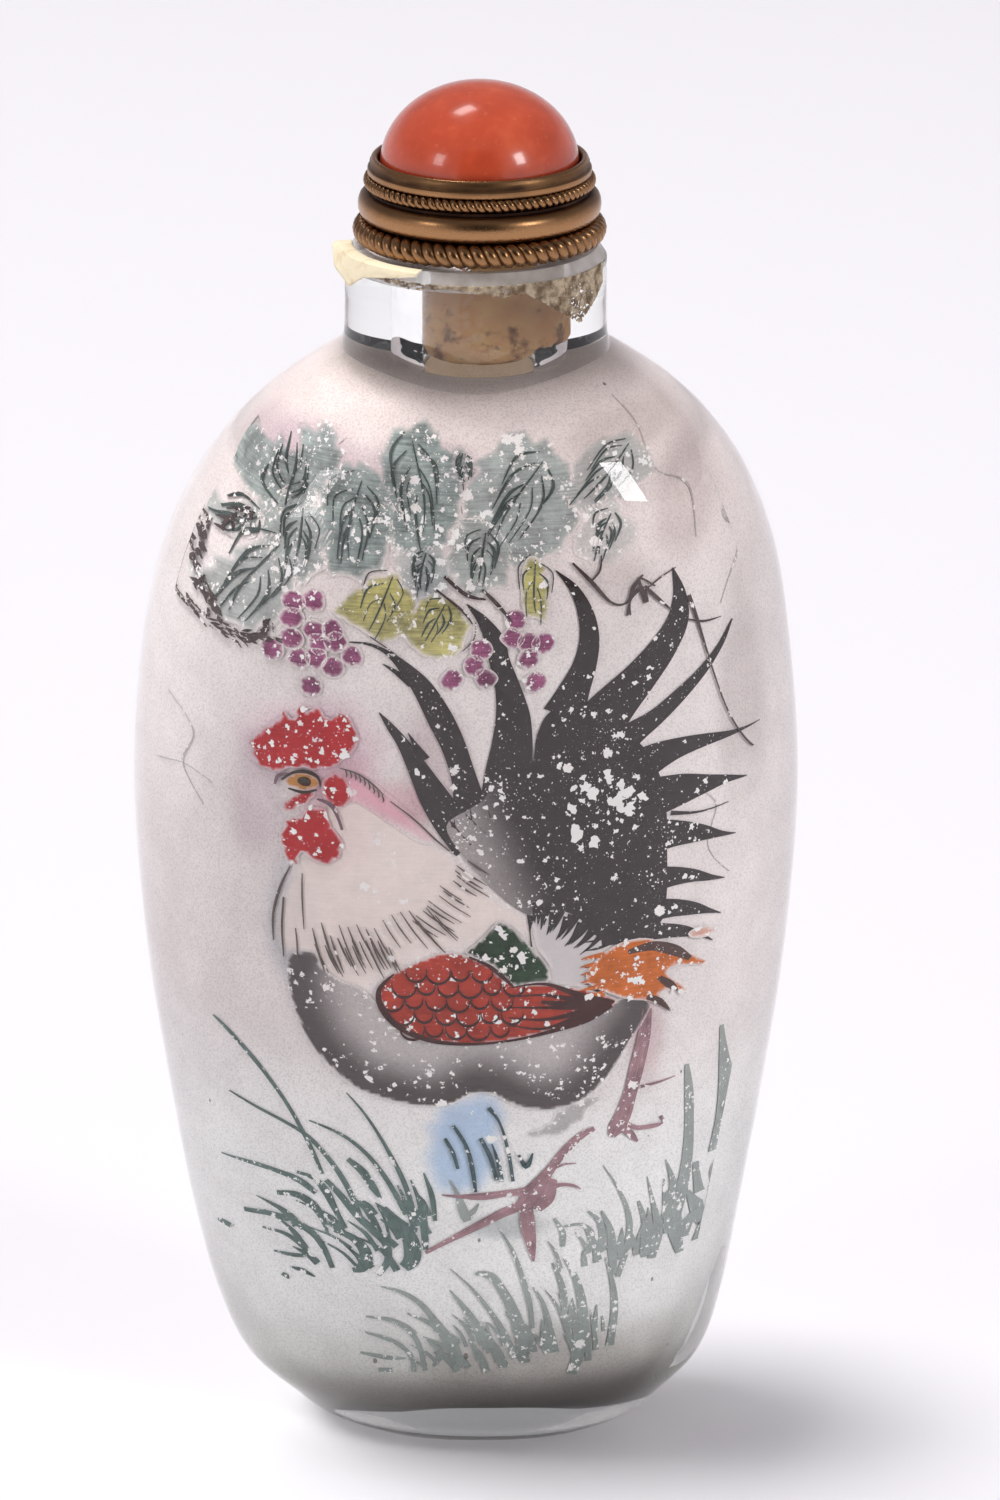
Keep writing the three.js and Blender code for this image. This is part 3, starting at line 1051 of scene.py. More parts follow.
def build_rope_tree():
    """Geometry Nodes that twist two strands along a ring."""
    inputs = [
        ("Geometry", "Geometry", None),
        ("Ring radius", "Float", 0.007),
        ("Strand radius", "Float", 0.0004),
        ("Twists", "Int", 30),
        ("Points", "Int", 400),
        ("Finish", "Material", None),
    ]
    shader, given, out = new_group("twisted_wire", inputs, [("Geometry", "Geometry")], "GeometryNodeTree")
    join = shader.node("GeometryNodeJoinGeometry")
    thick = shader.math("MULTIPLY", given["Strand radius"], 1.12)
    section = shader.node("GeometryNodeCurvePrimitiveCircle", {"Resolution": 10, "Radius": thick})
    for strand in range(2):
        circle = {"Resolution": given["Points"], "Radius": given["Ring radius"]}
        ring = shader.node("GeometryNodeCurvePrimitiveCircle", circle)
        move = {"Geometry": ring.outputs[0], "Offset": strand_offset(shader, given, strand)}
        path = shader.node("GeometryNodeSetPosition", move)
        tube = {"Curve": path.outputs[0], "Profile Curve": section.outputs[0]}
        shader.plug(shader.node("GeometryNodeCurveToMesh", tube).outputs[0], join.inputs[0])
    real = shader.node("GeometryNodeRealizeInstances", {0: join.outputs[0]})
    shader.plug(finished(shader, real.outputs[0], given), out[0])


def strand_offset(shader, given, strand):
    """How far one strand lies off the ring, as it winds round it."""
    factor = shader.node("GeometryNodeSplineParameter").outputs["Factor"]
    turns = shader.math("MULTIPLY", shader.math("MULTIPLY", factor, given["Twists"]), -2 * math.pi)
    phase = shader.math("ADD", turns, strand * math.pi)
    outward, upward = (shader.math("MULTIPLY", shader.math(wave, phase), given["Strand radius"])
                       for wave in ("COSINE", "SINE"))
    radial = shader.vector("NORMALIZE", shader.node("GeometryNodeInputPosition").outputs[0])
    lifted = shader.node("ShaderNodeCombineXYZ", {"Z": upward}).outputs[0]
    return shader.vector("ADD", shader.scaled(radial, outward), lifted)


def twisted_wire(name, node, ring, strand, twists, height):
    """A ring of two twisted strands in place of a plain twisted wire."""
    material = bpy.data.materials["wire_brass"]
    piece = modified_copy(name, mesh_object(name + "_carrier", [(0, 0, 0)], []), "twisted_wire", {
        "Ring radius": ring * MM,
        "Strand radius": strand * MM,
        "Twists": twists,
        "Points": twists * bpy.context.scene.bottle_stopper.rope_detail,
        "Finish": material,
    })
    crest = []
    for vertex in piece.data.vertices:
        out = math.hypot(vertex.co.x, vertex.co.y) / MM - ring
        crest.append(smoothstep(math.hypot(out, vertex.co.z / MM), strand * 0.9, strand * 2.1))
        vertex.co += Vector((STOPPER_OFFSET, 0, height)) * MM
    point_values(piece, "crest", crest)
    repair_normals(piece)
    piece.data.polygons.foreach_set("use_smooth", [True] * len(piece.data.polygons))
    return dress(piece, material, [node])


def repair_normals(piece):
    """Merges doubles and turns the faces outwards."""
    with edited(piece) as mesh:
        bmesh.ops.remove_doubles(mesh, verts=mesh.verts, dist=WELD_DISTANCE)
        bmesh.ops.recalc_face_normals(mesh, faces=mesh.faces)


# ---- operators -------------------------------------------------------------------------------

class BOTTLE_OT_stage(bpy.types.Operator):
    """Set up the camera, the pale floor and the soft lights"""
    bl_idname = "snuff_bottle.stage"
    bl_label = "Stage"

    def execute(self, context):
        scene = context.scene
        settings = scene.bottle_stage
        scene.view_settings.view_transform = "Standard"
        add_camera(scene, settings)
        floor = add_floor(settings)
        add_dark_card()
        add_world(scene)
        add_lights(floor)
        return {"FINISHED"}


# Strength of the light from all round, and the height that the lamps face.
ROOM_LIGHT = 0.26
AIM_HEIGHT = 45
# The floor's first and last radius, and where it starts and ends its rise to the backdrop.
FLOOR_START = 20
FLOOR_END = 2500
RISE_START = 900
RISE_END = 2400
RISE = 900


def add_camera(scene, settings):
    camera = bpy.data.objects.new("camera", bpy.data.cameras.new("camera"))
    scene.collection.objects.link(camera)
    camera.data.sensor_fit = "VERTICAL"
    camera.data.sensor_height = 36
    camera.data.lens = settings.lens
    camera.data.shift_x = settings.shift_x
    camera.data.shift_y = settings.shift_y
    camera.data.clip_end = 10
    back = settings.distance * math.cos(settings.elevation)
    up = settings.distance * math.sin(settings.elevation)
    camera.location = (0, -back, settings.target_height + up)
    camera.rotation_euler = (math.pi / 2 - settings.elevation, 0, 0)
    scene.camera = camera


def add_floor(settings):
    """A wide pale sweep that is flat under the bottle and rises all round far away."""
    rings, around = 48, 72
    points, faces = [], []
    for row in range(rings):
        share = row / (rings - 1)
        radius = lerp(FLOOR_START, FLOOR_END, share ** 2)
        points += round_ring(0, radius, RISE * smoothstep(radius, RISE_START, RISE_END), even_angles(around))
    faces = ring_faces(rings, around)
    points.append((0, 0, 0))
    faces += [(len(points) - 1, (i + 1) % around, i) for i in range(around)]
    faces = [tuple(reversed(face)) for face in faces]
    floor = mesh_object("floor", points, faces)
    material, shader, surface, cloud, _ = varied_material("floor_paper", 3.0, 900.0)
    pale = shader.mix(cloud, times(settings.floor, 0.985), settings.floor)
    set_surface(shader, surface, Base_Color=pale, Roughness=0.6)
    floor.data.materials.append(material)
    return floor


def add_dark_card():
    """A dark card behind the camera, which the brass and the glass mirror."""
    half, low, high, back = 420, 60, 1000, -900
    corners = [(-half, back, low), (half, back, low), (half, back, high), (-half, back, high)]
    card = mesh_object("dark_card", corners, [(0, 3, 2, 1)], smooth=False)
    material, shader, surface = new_material("card_black")
    set_surface(shader, surface, Base_Color=(0.02, 0.02, 0.022), Roughness=0.9)
    card.data.materials.append(material)


def add_world(scene):
    world = bpy.data.worlds.new("studio")
    world.use_nodes = True
    background = world.node_tree.nodes["Background"]
    background.inputs["Color"].default_value = (*tone(250, 248, 255), 1.0)
    background.inputs["Strength"].default_value = ROOM_LIGHT
    scene.world = world


def add_softbox(name, azimuth, elevation, away, size, watts, mirrored):
    """A light that faces the bottle; azimuth 0 is behind the camera, 90 to +X.

    Unless mirrored, it leaves no reflection in glass and brass.
    """
    light = bpy.data.lights.new(name, "AREA")
    light.shape = "RECTANGLE"
    light.size, light.size_y = size
    light.energy = watts
    lamp = bpy.data.objects.new(name, light)
    lamp.visible_glossy = mirrored
    bpy.context.scene.collection.objects.link(lamp)
    turn, rise = math.radians(azimuth), math.radians(elevation)
    direction = Vector((math.sin(turn) * math.cos(rise), -math.cos(turn) * math.cos(rise), math.sin(rise)))
    lamp.location = direction * away + Vector((0, 0, AIM_HEIGHT * MM))
    lamp.rotation_euler = direction.to_track_quat("Z", "Y").to_euler()
    return lamp


def spare(lamp, piece):
    """Keep a light off one piece, which then takes no fill in its shadows."""
    spared = bpy.data.collections.new(lamp.name + "_spares")
    spared.objects.link(piece)
    spared.collection_objects[0].light_linking.link_state = "EXCLUDE"
    lamp.light_linking.receiver_collection = spared


# Lights: name, azimuth, elevation, metres away, size, watts, kept off the floor, mirrored in glass.
LIGHTS = [
    ("right_softbox", 52, 28, 1.3, (0.24, 0.34), 3.2, False, True),
    ("left_softbox", -52, 26, 1.5, (0.30, 0.40), 1.8, False, True),
    ("overhead_softbox", -149, 70, 1.2, (0.30, 0.20), 1.3, False, True),
    ("key_softbox", -105, 76, 1.3, (0.36, 0.36), 13.0, False, False),
    ("right_fill", 50, 8, 1.3, (1.0, 0.9), 5.6, True, False),
    ("left_fill", -48, 8, 1.3, (1.0, 0.9), 2.9, True, False),
]


def add_lights(floor):
    for name, azimuth, elevation, away, size, watts, is_fill, mirrored in LIGHTS:
        lamp = add_softbox(name, azimuth, elevation, away, size, watts, mirrored)
        if is_fill:
            spare(lamp, floor)


class BOTTLE_OT_glass(bpy.types.Operator):
    """Build the clear glass of the bottle, with its bore and cavity"""
    bl_idname = "snuff_bottle.glass"
    bl_label = "Glass"

    def execute(self, context):
        angles = even_angles(160)
        seam = [seam_height(angle) for angle in angles]
        heights = [0, 0.12, 0.3, 0.6, 1, 1.35, 1.7, 2.1, 2.5, 3, 3.6, 4.3, 5, 6, 7, 8]
        heights += spread(9, SHOULDER_START - 0.8, 66)
        rings = [section_ring(outside(0), 0, angles, share) for share in (0.3, 0.6, 0.85)]
        rings += [section_ring(outside(z), z, angles) for z in heights]
        rings += [shoulder_ring(share, angles, seam) for share in spread(0, 1, 34)]
        rings += neck_rings(angles)
        cavity = cavity_heights(0.7)
        rings += [section_ring(inside(z), z, angles) for z in cavity]
        flat = inside(FLOOR_HEIGHT)
        rings += [section_ring(flat, FLOOR_HEIGHT, angles, share) for share in (0.8, 0.5, 0.2)]
        floor = (flat[0], 0, FLOOR_HEIGHT)
        glass = ring_solid("glass_bottle", rings, (drift(0), 0, 0), floor)
        sharpen(glass, 24)
        dress(glass, bpy.data.materials["polished_glass"], ["bottle"])
        return {"FINISHED"}


def neck_rings(angles):
    """Rings up the neck, over the ground lip and down the bore."""
    bevel_foot = MOUTH_HEIGHT - LIP_BEVEL_HEIGHT
    sizes = [(lerp(NECK_RADIUS + NECK_ROOT_FLARE, NECK_RADIUS, z - NECK_START + 1), z)
             for z in spread(NECK_START - 0.9, NECK_START, 4)[1:]]
    sizes += [(NECK_RADIUS, z) for z in spread(NECK_START, bevel_foot, 8)[1:]]
    sizes += [(NECK_RADIUS - LIP_BEVEL_WIDTH * share, bevel_foot + LIP_BEVEL_HEIGHT * share)
              for share in (0.5, 1)]
    rings = [round_ring(NECK_OFFSET, radius, z, angles) for radius, z in sizes]
    rings.append(round_ring(BORE_OFFSET, BORE_RADIUS + 0.2, MOUTH_HEIGHT, angles))
    bore = spread(MOUTH_HEIGHT - 0.2, CEILING_HEIGHT + 0.3, 12)
    return rings + [round_ring(BORE_OFFSET, BORE_RADIUS, z, angles) for z in bore]


class BOTTLE_OT_lining(bpy.types.Operator):
    """Build the thin frosted lining of the cavity"""
    bl_idname = "snuff_bottle.lining"
    bl_label = "Frosted lining"

    def execute(self, context):
        angles = even_angles(144)
        outer = context.scene.bottle_paint.lift / MM
        heights = list(reversed(cavity_heights(0.6)))
        shell = []
        for grow, levels in ((outer, heights), (-0.1, list(reversed(heights)))):
            floor = FLOOR_HEIGHT - grow
            flat = [section_ring(inside(FLOOR_HEIGHT), floor, angles, share) for share in (0.2, 0.5, 0.8)]
            walls = [section_ring(inside(z, grow), max(z, floor) if grow < 0 else z, angles) for z in levels]
            if grow > 0:
                walls[0] = section_ring(inside(FLOOR_HEIGHT, 0), floor, angles, 0.98)
                shell += flat + walls
            else:
                shell += walls + list(reversed(flat))
        middle = inside(FLOOR_HEIGHT)[0]
        ends = [(middle, 0, z) for z in (FLOOR_HEIGHT - outer, FLOOR_HEIGHT + 0.1)]
        lining = ring_solid("frosted_lining", shell, *ends)
        outer_points = len(angles) * (len(flat) + len(heights))
        # The inner side of the shell gets a painted glow, an emission in place of light let through the wall.
        point_values(lining, "daylight", [float(i >= outer_points) for i in range(len(lining.data.vertices))])
        dress(lining, bpy.data.materials["frosted_lining"])
        return {"FINISHED"}


# ---- the painted picture, in millimetres across (x) and up (z) on the wall ---------------------

# Broad leaves of the vine: their outlines, the roots and hearts of their midribs, and their shades.
LEAVES = [
    [(-12.5, 62.3), (-13.2, 63.6), (-12.3, 65.2), (-10.8, 65.6), (-10.2, 65.2), (-9.6, 66.6),
     (-8.2, 66.7), (-7.7, 65.0),
     (-8.8, 63.1), (-10.8, 62.0)],
    [(-8.8, 61.0), (-8.6, 63.6), (-7.0, 65.0), (-5.1, 64.2), (-4.5, 62.0), (-5.2, 59.9), (-6.6, 58.9),
     (-8.2, 59.3)],
    [(-11.4, 60.3), (-13.4, 58.8), (-14.9, 56.8), (-14.1, 55.1), (-11.9, 55.2), (-10.5, 57.4), (-10.3, 59.7)],
    [(-11.8, 61.6), (-10.2, 62.8), (-8.7, 62.6), (-8.4, 61.0), (-8.7, 59.2), (-10.0, 58.3), (-11.3, 59.3)],
    [(-5.0, 64.6), (-4.2, 66.6), (-2.6, 67.4), (-1.1, 66.2), (-0.4, 63.8), (-1.2, 61.4), (-2.6, 60.2),
     (-4.4, 61.4)],
    [(0.2, 62.0), (0.2, 64.2), (1.4, 65.9), (3.2, 66.8), (5.3, 65.8), (6.3, 63.6), (5.9, 61.4), (4.2, 59.9),
     (2.2, 60.2)],
    [(6.0, 63.4), (6.7, 65.6), (8.6, 66.6), (10.2, 65.8), (10.5, 64.0), (9.2, 62.8), (7.4, 62.4)],
    [(0.2, 62.4), (-0.9, 60.8), (-0.6, 58.6), (0.8, 57.9), (2.2, 58.6), (2.6, 60.6), (1.6, 62.0)],
    [(7.0, 62.2), (6.6, 60.6), (8.0, 59.4), (9.6, 60.0), (9.8, 61.6), (8.6, 62.6)],
    [(-0.9, 66.2), (-0.2, 66.6), (0.5, 65.2), (-0.2, 64.2), (-0.8, 64.8)],
    [(-3.9, 60.4), (-2.2, 60.8), (-1.0, 59.8), (-1.6, 58.0), (-3.2, 57.6), (-4.2, 58.8)],
    [(-14.6, 60.4), (-13.4, 61.2), (-12.0, 61.6), (-11.6, 60.6), (-12.8, 60.0), (-14.0, 59.4)],
]
LEAF_ROOTS = [(-10.6, 62.2), (-6.2, 64.4), (-11.0, 60.0), (-9.6, 62.3), (-3.2, 66.8), (4.6, 65.6),
              (9.6, 65.8),
              (1.2, 61.6), (8.6, 62.2), (-0.2, 66.2), (-2.4, 60.4), (-12.0, 61.2)]
LEAF_HEARTS = [(-10.2, 64.4), (-6.7, 61.6), (-12.8, 57.2), (-10.0, 60.2), (-2.8, 63.6), (2.8, 62.8),
               (8.0, 64.2),
               (0.9, 59.6), (8.2, 60.8), (-0.1, 65.2), (-2.6, 59.0), (-13.2, 60.4)]
LEAF_GROWTH = 1.12
LEAF_SHADES = [0.95, 1.0, 0.75, 0.85, 1.0, 0.85, 0.6, 0.8, 0.4, 0.8, 0.5, 0.7]
YOUNG_LEAVES = [
    [(-4.8, 59.1), (-6.4, 58.0), (-8.2, 56.7), (-6.9, 55.9), (-5.6, 55.0), (-4.2, 55.0), (-3.1, 56.4),
     (-3.4, 58.2)],
    [(-1.7, 58.0), (-3.2, 57.2), (-4.3, 56.2), (-3.4, 54.5), (-1.6, 53.9), (-0.1, 54.6), (0.2, 56.4)],
    [(3.6, 60.0), (3.2, 58.2), (3.6, 56.4), (4.8, 56.1), (5.2, 57.8), (4.7, 59.6)],
]
YOUNG_LEAF_ROOTS = [(-4.4, 58.9), (-1.2, 57.4), (4.2, 59.9)]
YOUNG_LEAF_HEARTS = [(-5.3, 56.8), (-2.0, 55.9), (4.2, 57.9)]

# Middles of the grapes.
GRAPES = [
    (-10.3, 56.9), (-9.1, 57.1), (-10.4, 55.9), (-9.1, 55.3), (-8.0, 55.5), (-10.4, 54.6), (-11.6, 53.8),
    (-10.0, 53.5), (-9.0, 53.6), (-8.8, 54.5), (-7.8, 54.7), (-8.0, 53.1), (-6.9, 53.9), (-9.3, 51.8),
    (3.0, 56.3), (2.8, 55.2), (3.8, 54.9), (4.7, 54.8), (3.8, 53.9), (4.2, 52.4), (0.9, 54.5), (0.5, 53.5),
    (1.2, 52.7), (-0.9, 52.6),
]

# Twigs and tendrils, as strokes of (x, z, width). The first ones are dragged dry over rough ground,
# and all but the first two are also drawn solid.
DRY_TWIGS = 5
SOLID_TWIGS = 2
TWIGS = [
    [(-12.4, 61.4, 0.2), (-13.7, 60.2, 0.3), (-14.8, 59.0, 0.35), (-15.1, 57.4, 0.4), (-14.9, 55.6, 0.4),
     (-14.0, 54.6, 0.4), (-12.6, 54.3, 0.25), (-11.4, 54.5, 0.12)],
    [(-14.6, 60.2, 0.1), (-15.8, 58.6, 0.25), (-16.1, 56.9, 0.3), (-16.0, 55.4, 0.3), (-15.2, 54.6, 0.3),
     (-14.0, 54.2, 0.4), (-13.2, 53.9, 0.15)],
    [(-11.7, 55.6, 0.1), (-12.0, 54.8, 0.2), (-12.7, 54.2, 0.15)],
    [(-15.2, 58.6, 0.35), (-15.6, 57.4, 0.15)],
    [(-15.4, 56.4, 0.35), (-14.4, 55.2, 0.3)],
    [(-1.3, 59.0, 0.2), (0.0, 57.9, 0.25), (1.2, 57.6, 0.12)],
    [(-1.8, 58.2, 0.12), (-0.2, 56.9, 0.16), (0.4, 56.1, 0.08)],
    [(1.0, 58.2, 0.15), (1.9, 57.3, 0.25), (2.8, 56.2, 0.1)],
    [(6.4, 59.6, 0.12), (7.5, 58.4, 0.24), (8.7, 57.0, 0.16), (9.6, 56.9, 0.14), (10.0, 57.8, 0.26),
     (10.5, 58.4, 0.1)],
    [(8.1, 59.9, 0.06), (8.0, 59.0, 0.14), (7.5, 58.4, 0.1)],
    [(9.7, 56.1, 0.3), (9.8, 57.0, 0.12), (10.4, 57.6, 0.34), (10.7, 56.7, 0.3), (10.3, 58.2, 0.12),
     (11.2, 57.6, 0.1)],
    [(10.8, 57.6, 0.1), (11.6, 58.1, 0.1), (12.3, 58.4, 0.06)],
    [(10.6, 57.7, 0.18), (11.3, 56.9, 0.2), (12.1, 56.0, 0.08)],
    [(13.0, 56.6, 0.24), (13.5, 55.0, 0.14), (14.3, 51.8, 0.07), (15.1, 48.8, 0.06), (16.1, 45.9, 0.05)],
    [(13.0, 55.2, 0.06), (13.8, 54.8, 0.14), (14.6, 54.7, 0.05)],
    [(-5.8, 55.2, 0.06), (-4.6, 54.4, 0.08), (-3.6, 53.6, 0.05)],
    [(0.6, 56.2, 0.06), (0.5, 55.2, 0.08), (-0.2, 54.4, 0.05)],
]

# Fine cracks in the wall.
HAIRLINES = [
    [(8.6, 68.2, 0.04), (10.0, 66.6, 0.07), (11.0, 64.0, 0.06), (12.6, 62.2, 0.07), (13.2, 59.6, 0.04)],
    [(14.4, 62.4, 0.04), (14.0, 60.2, 0.07), (14.8, 58.0, 0.06), (14.5, 55.4, 0.04)],
    [(-16.6, 49.2, 0.04), (-15.8, 47.4, 0.06), (-16.3, 45.2, 0.07), (-15.4, 43.0, 0.04)],
    [(-17.2, 44.6, 0.04), (-16.3, 45.2, 0.06), (-14.9, 44.6, 0.04)],
    [(13.2, 44.8, 0.04), (14.6, 43.2, 0.06), (14.2, 40.6, 0.05), (15.2, 38.4, 0.04)],
]

# The head's outlines, and the strokes of its eye and beak.
COMB = [(-12.9, 47.6), (-12.2, 48.8), (-11.2, 49.5), (-10.9, 50.1), (-10.3, 49.6), (-9.9, 50.6), (-9.4, 50.2),
        (-8.9, 50.6), (-8.2, 49.9), (-7.7, 50.4), (-7.1, 50.0), (-6.6, 49.2), (-6.6, 48.3), (-7.5, 47.1),
        (-8.8, 46.6), (-10.2, 46.5), (-11.3, 46.2), (-12.3, 46.4), (-12.7, 47.0)]
EAR_LOBE = [(-8.6, 46.0), (-7.7, 46.4), (-6.95, 45.6), (-7.0, 44.7), (-7.7, 44.2), (-8.4, 44.7)]
BEAK_WATTLE = [(-11.15, 44.0), (-10.6, 44.6), (-9.9, 45.2), (-9.2, 45.2), (-9.3, 44.6), (-10.1, 44.1),
               (-10.8, 43.6)]
WATTLE = [(-11.15, 42.0), (-10.8, 43.1), (-9.8, 43.5), (-9.5, 44.1), (-8.6, 44.1), (-8.1, 43.0),
          (-7.55, 42.1),
          (-7.7, 40.9), (-8.5, 40.5), (-9.3, 40.7), (-9.9, 41.2), (-10.2, 40.3), (-10.8, 40.5),
          (-11.15, 41.2)]

FACE = [(-10.9, 45.6), (-10.2, 46.3), (-9.2, 46.2), (-8.8, 45.7), (-9.4, 45.2), (-10.3, 45.2)]
BROWS = [
    [(-8.8, 45.5, 0.05), (-8.95, 46.1, 0.2), (-9.6, 46.4, 0.26), (-10.4, 46.25, 0.18), (-11.1, 45.7, 0.12)],
    [(-9.0, 45.3, 0.1), (-9.8, 45.05, 0.2), (-10.7, 45.2, 0.1)],
]
BEAK = [
    [(-10.7, 46.2, 0.1), (-11.3, 45.9, 0.22), (-11.5, 45.3, 0.1)],
    [(-9.0, 44.7, 0.12), (-8.2, 44.4, 0.28), (-7.8, 43.7, 0.2), (-7.5, 42.8, 0.16)],
]

HACKLE = [(-10.4, 40.6), (-9.0, 43.6), (-7.9, 46.4), (-6.4, 46.2), (-5.1, 45.3), (-3.6, 44.0), (-2.1, 42.6),
          (-1.0, 41.5), (0.9, 39.8), (2.2, 38.4), (3.8, 37.2), (3.7, 35.4), (2.3, 36.6), (0.6, 35.3),
          (-2.0, 34.6), (-4.6, 33.2), (-6.6, 32.0), (-8.6, 32.6), (-9.6, 34.0), (-11.2, 34.4), (-11.5, 37.0)]

# Long feathers of the tail, as strokes of (x, z, width), over its dark mass.
TAIL_FEATHERS = [
    [(-7.0, 54.75, 0.08), (-5.9, 54.7, 0.16), (-4.8, 54.25, 0.3), (-3.7, 53.3, 0.75), (-2.6, 52.0, 1.25),
     (-1.6, 50.2, 1.55), (-0.8, 48.5, 1.5), (-0.25, 46.8, 1.5), (0.1, 45.3, 1.8), (0.4, 43.6, 2.3)],
    [(-5.0, 53.5, 0.06), (-4.2, 53.0, 0.3), (-3.3, 52.3, 0.5)],
    [(-5.25, 50.45, 0.06), (-4.6, 49.6, 0.45), (-3.8, 48.5, 0.75), (-2.9, 46.9, 1.25), (-2.0, 45.2, 1.8),
     (-1.0, 43.6, 2.1), (0.3, 42.0, 2.4)],
    [(-3.5, 49.2, 0.06), (-3.1, 48.5, 0.3), (-2.5, 47.5, 0.7)],
    [(0.05, 57.3, 0.06), (1.0, 56.3, 0.65), (1.75, 55.0, 1.2), (2.05, 53.7, 1.25), (2.55, 52.0, 1.55),
     (2.85, 50.2, 2.1), (2.8, 48.4, 2.5), (2.6, 46.6, 2.9), (2.6, 44.6, 3.6)],
    [(5.4, 59.2, 0.06), (6.5, 58.0, 0.55), (7.2, 56.4, 0.95), (7.4, 54.8, 1.2), (7.1, 53.2, 1.45),
     (6.5, 51.7, 1.9), (5.9, 50.2, 2.6)],
    [(12.1, 58.4, 0.06), (12.5, 56.8, 0.65), (12.4, 55.2, 1.25), (11.6, 53.7, 1.7), (10.4, 52.2, 2.1),
     (8.9, 50.6, 2.7), (7.4, 48.8, 3.4)],
    [(15.0, 54.2, 0.05), (14.6, 53.0, 0.28), (13.8, 51.8, 0.55), (12.6, 50.6, 0.85), (11.3, 49.5, 1.1),
     (9.9, 48.6, 1.6), (8.4, 47.4, 2.4)],
    [(16.1, 47.2, 0.05), (15.2, 47.3, 0.35), (14.0, 47.4, 0.8), (12.6, 47.3, 1.3), (11.2, 46.9, 1.9),
     (9.4, 46.0, 2.6)],
    [(15.9, 44.2, 0.05), (15.1, 44.5, 0.5), (14.0, 44.6, 1.25), (12.8, 44.6, 2.0), (11.2, 44.4, 2.6)],
    [(15.5, 40.8, 0.05), (14.8, 41.1, 0.4), (13.8, 41.5, 1.1), (12.5, 41.8, 1.7), (10.9, 41.9, 2.4)],
    [(15.0, 38.1, 0.05), (14.3, 38.4, 0.4), (13.4, 38.8, 0.85), (12.3, 39.0, 1.3), (10.8, 39.0, 1.9)],
    [(14.8, 35.8, 0.05), (14.2, 36.2, 0.35), (13.4, 36.6, 0.85), (12.3, 36.9, 1.2), (10.8, 37.0, 1.6)],
    [(14.4, 34.1, 0.05), (13.8, 34.7, 0.3), (12.9, 35.2, 0.75), (11.6, 35.5, 1.05), (10.0, 35.6, 1.3),
     (8.2, 35.5, 1.0)],
    [(15.2, 43.0, 0.05), (13.8, 42.9, 0.12), (12.2, 43.2, 0.3)],
    [(4.0, 37.3, 0.6), (3.9, 36.4, 0.12), (4.0, 35.2, 0.1)],
]
TAIL_MASS = [(-1.2, 43.2), (0.0, 41.0), (1.0, 39.8), (2.1, 38.6), (3.3, 37.6), (4.3, 37.2), (5.4, 37.6),
             (6.8, 37.0), (8.0, 35.6), (10.0, 35.2), (11.6, 36.0), (12.0, 38.0), (12.0, 41.0), (11.9, 44.0),
             (11.2, 46.8), (9.8, 48.6), (8.0, 50.0), (6.4, 50.9), (5.0, 50.4), (4.3, 49.0), (4.0, 47.2),
             (3.0, 46.2), (1.9, 46.4), (1.1, 45.0), (0.3, 44.4)]

WORN_AREA = [(6.0, 43.5), (7.0, 46.4), (9.4, 46.6), (11.0, 44.6), (9.8, 41.4), (7.4, 41.0)]

# Outlines of breast and belly, wing, saddle, tuft, coverts, smudge, blush and thigh.
BODY = [(-10.6, 34.2), (-10.8, 32.6), (-10.4, 30.6), (-9.6, 28.6), (-8.4, 27.0), (-6.6, 25.5), (-4.6, 24.8),
        (-2.6, 24.45), (-1.0, 24.6), (0.4, 25.35), (1.6, 25.3), (3.0, 24.5), (4.8, 24.1), (6.6, 24.4),
        (8.0, 25.4), (9.2, 27.0), (9.9, 28.4), (10.7, 29.6), (11.1, 30.9), (10.2, 31.5), (9.0, 31.2),
        (7.0, 30.2), (3.6, 29.4), (0.0, 28.8), (-3.0, 29.4), (-5.2, 31.2), (-6.4, 32.4), (-7.6, 32.8),
        (-8.7, 33.6), (-9.2, 34.5)]

WING = [(-5.35, 32.0), (-4.9, 33.1), (-3.6, 33.9), (-2.2, 34.6), (-1.0, 34.9), (0.3, 34.6), (1.4, 34.0),
        (2.6, 32.9), (4.4, 32.7), (6.3, 32.4), (8.0, 31.9), (9.1, 31.2), (8.2, 30.5), (6.9, 30.0),
        (5.2, 29.5),
        (3.0, 29.0), (0.8, 28.7), (-1.4, 28.8), (-3.3, 29.2), (-4.7, 30.3)]

# Rim and joints of the wing; and where its long feathers start, and how they bow.
WING_LINES = [
    [(-4.4, 33.4, 0.1), (-5.3, 32.3, 0.3), (-5.1, 31.0, 0.4), (-4.0, 29.8, 0.4), (-2.2, 29.0, 0.3),
     (0.2, 28.75, 0.2), (3.0, 29.0, 0.16), (5.6, 29.6, 0.3), (7.4, 30.2, 0.5), (8.8, 31.0, 0.4)],
]
WING_JOINTS = [
    [(0.2, 34.6, 0.1), (1.4, 34.0, 0.25), (2.3, 33.2, 0.25), (2.9, 32.6, 0.12)],
    [(4.6, 31.5, 0.2), (6.4, 31.2, 0.5), (8.2, 31.1, 0.5), (9.0, 31.2, 0.1)],
]
WING_FEATHERS = [(32.5, 0.3), (31.9, 0.15), (31.2, 0.0), (30.5, -0.1), (30.0, -0.2)]

SADDLE = [(0.0, 34.9), (0.5, 35.4), (1.3, 36.2), (1.9, 36.9), (2.6, 36.7), (3.4, 35.9), (4.2, 34.9),
          (5.0, 33.9),
          (5.0, 32.9), (4.1, 32.8), (3.0, 32.6), (2.3, 33.2), (1.6, 34.0), (0.8, 34.4)]

TUFT = [(4.0, 37.2), (4.5, 38.0), (5.4, 38.2), (6.4, 38.0), (7.6, 37.4), (8.6, 36.4), (8.2, 35.0),
        (7.6, 33.6),
        (7.4, 32.4), (6.2, 32.5), (5.1, 32.8), (5.0, 34.0), (4.3, 35.2)]

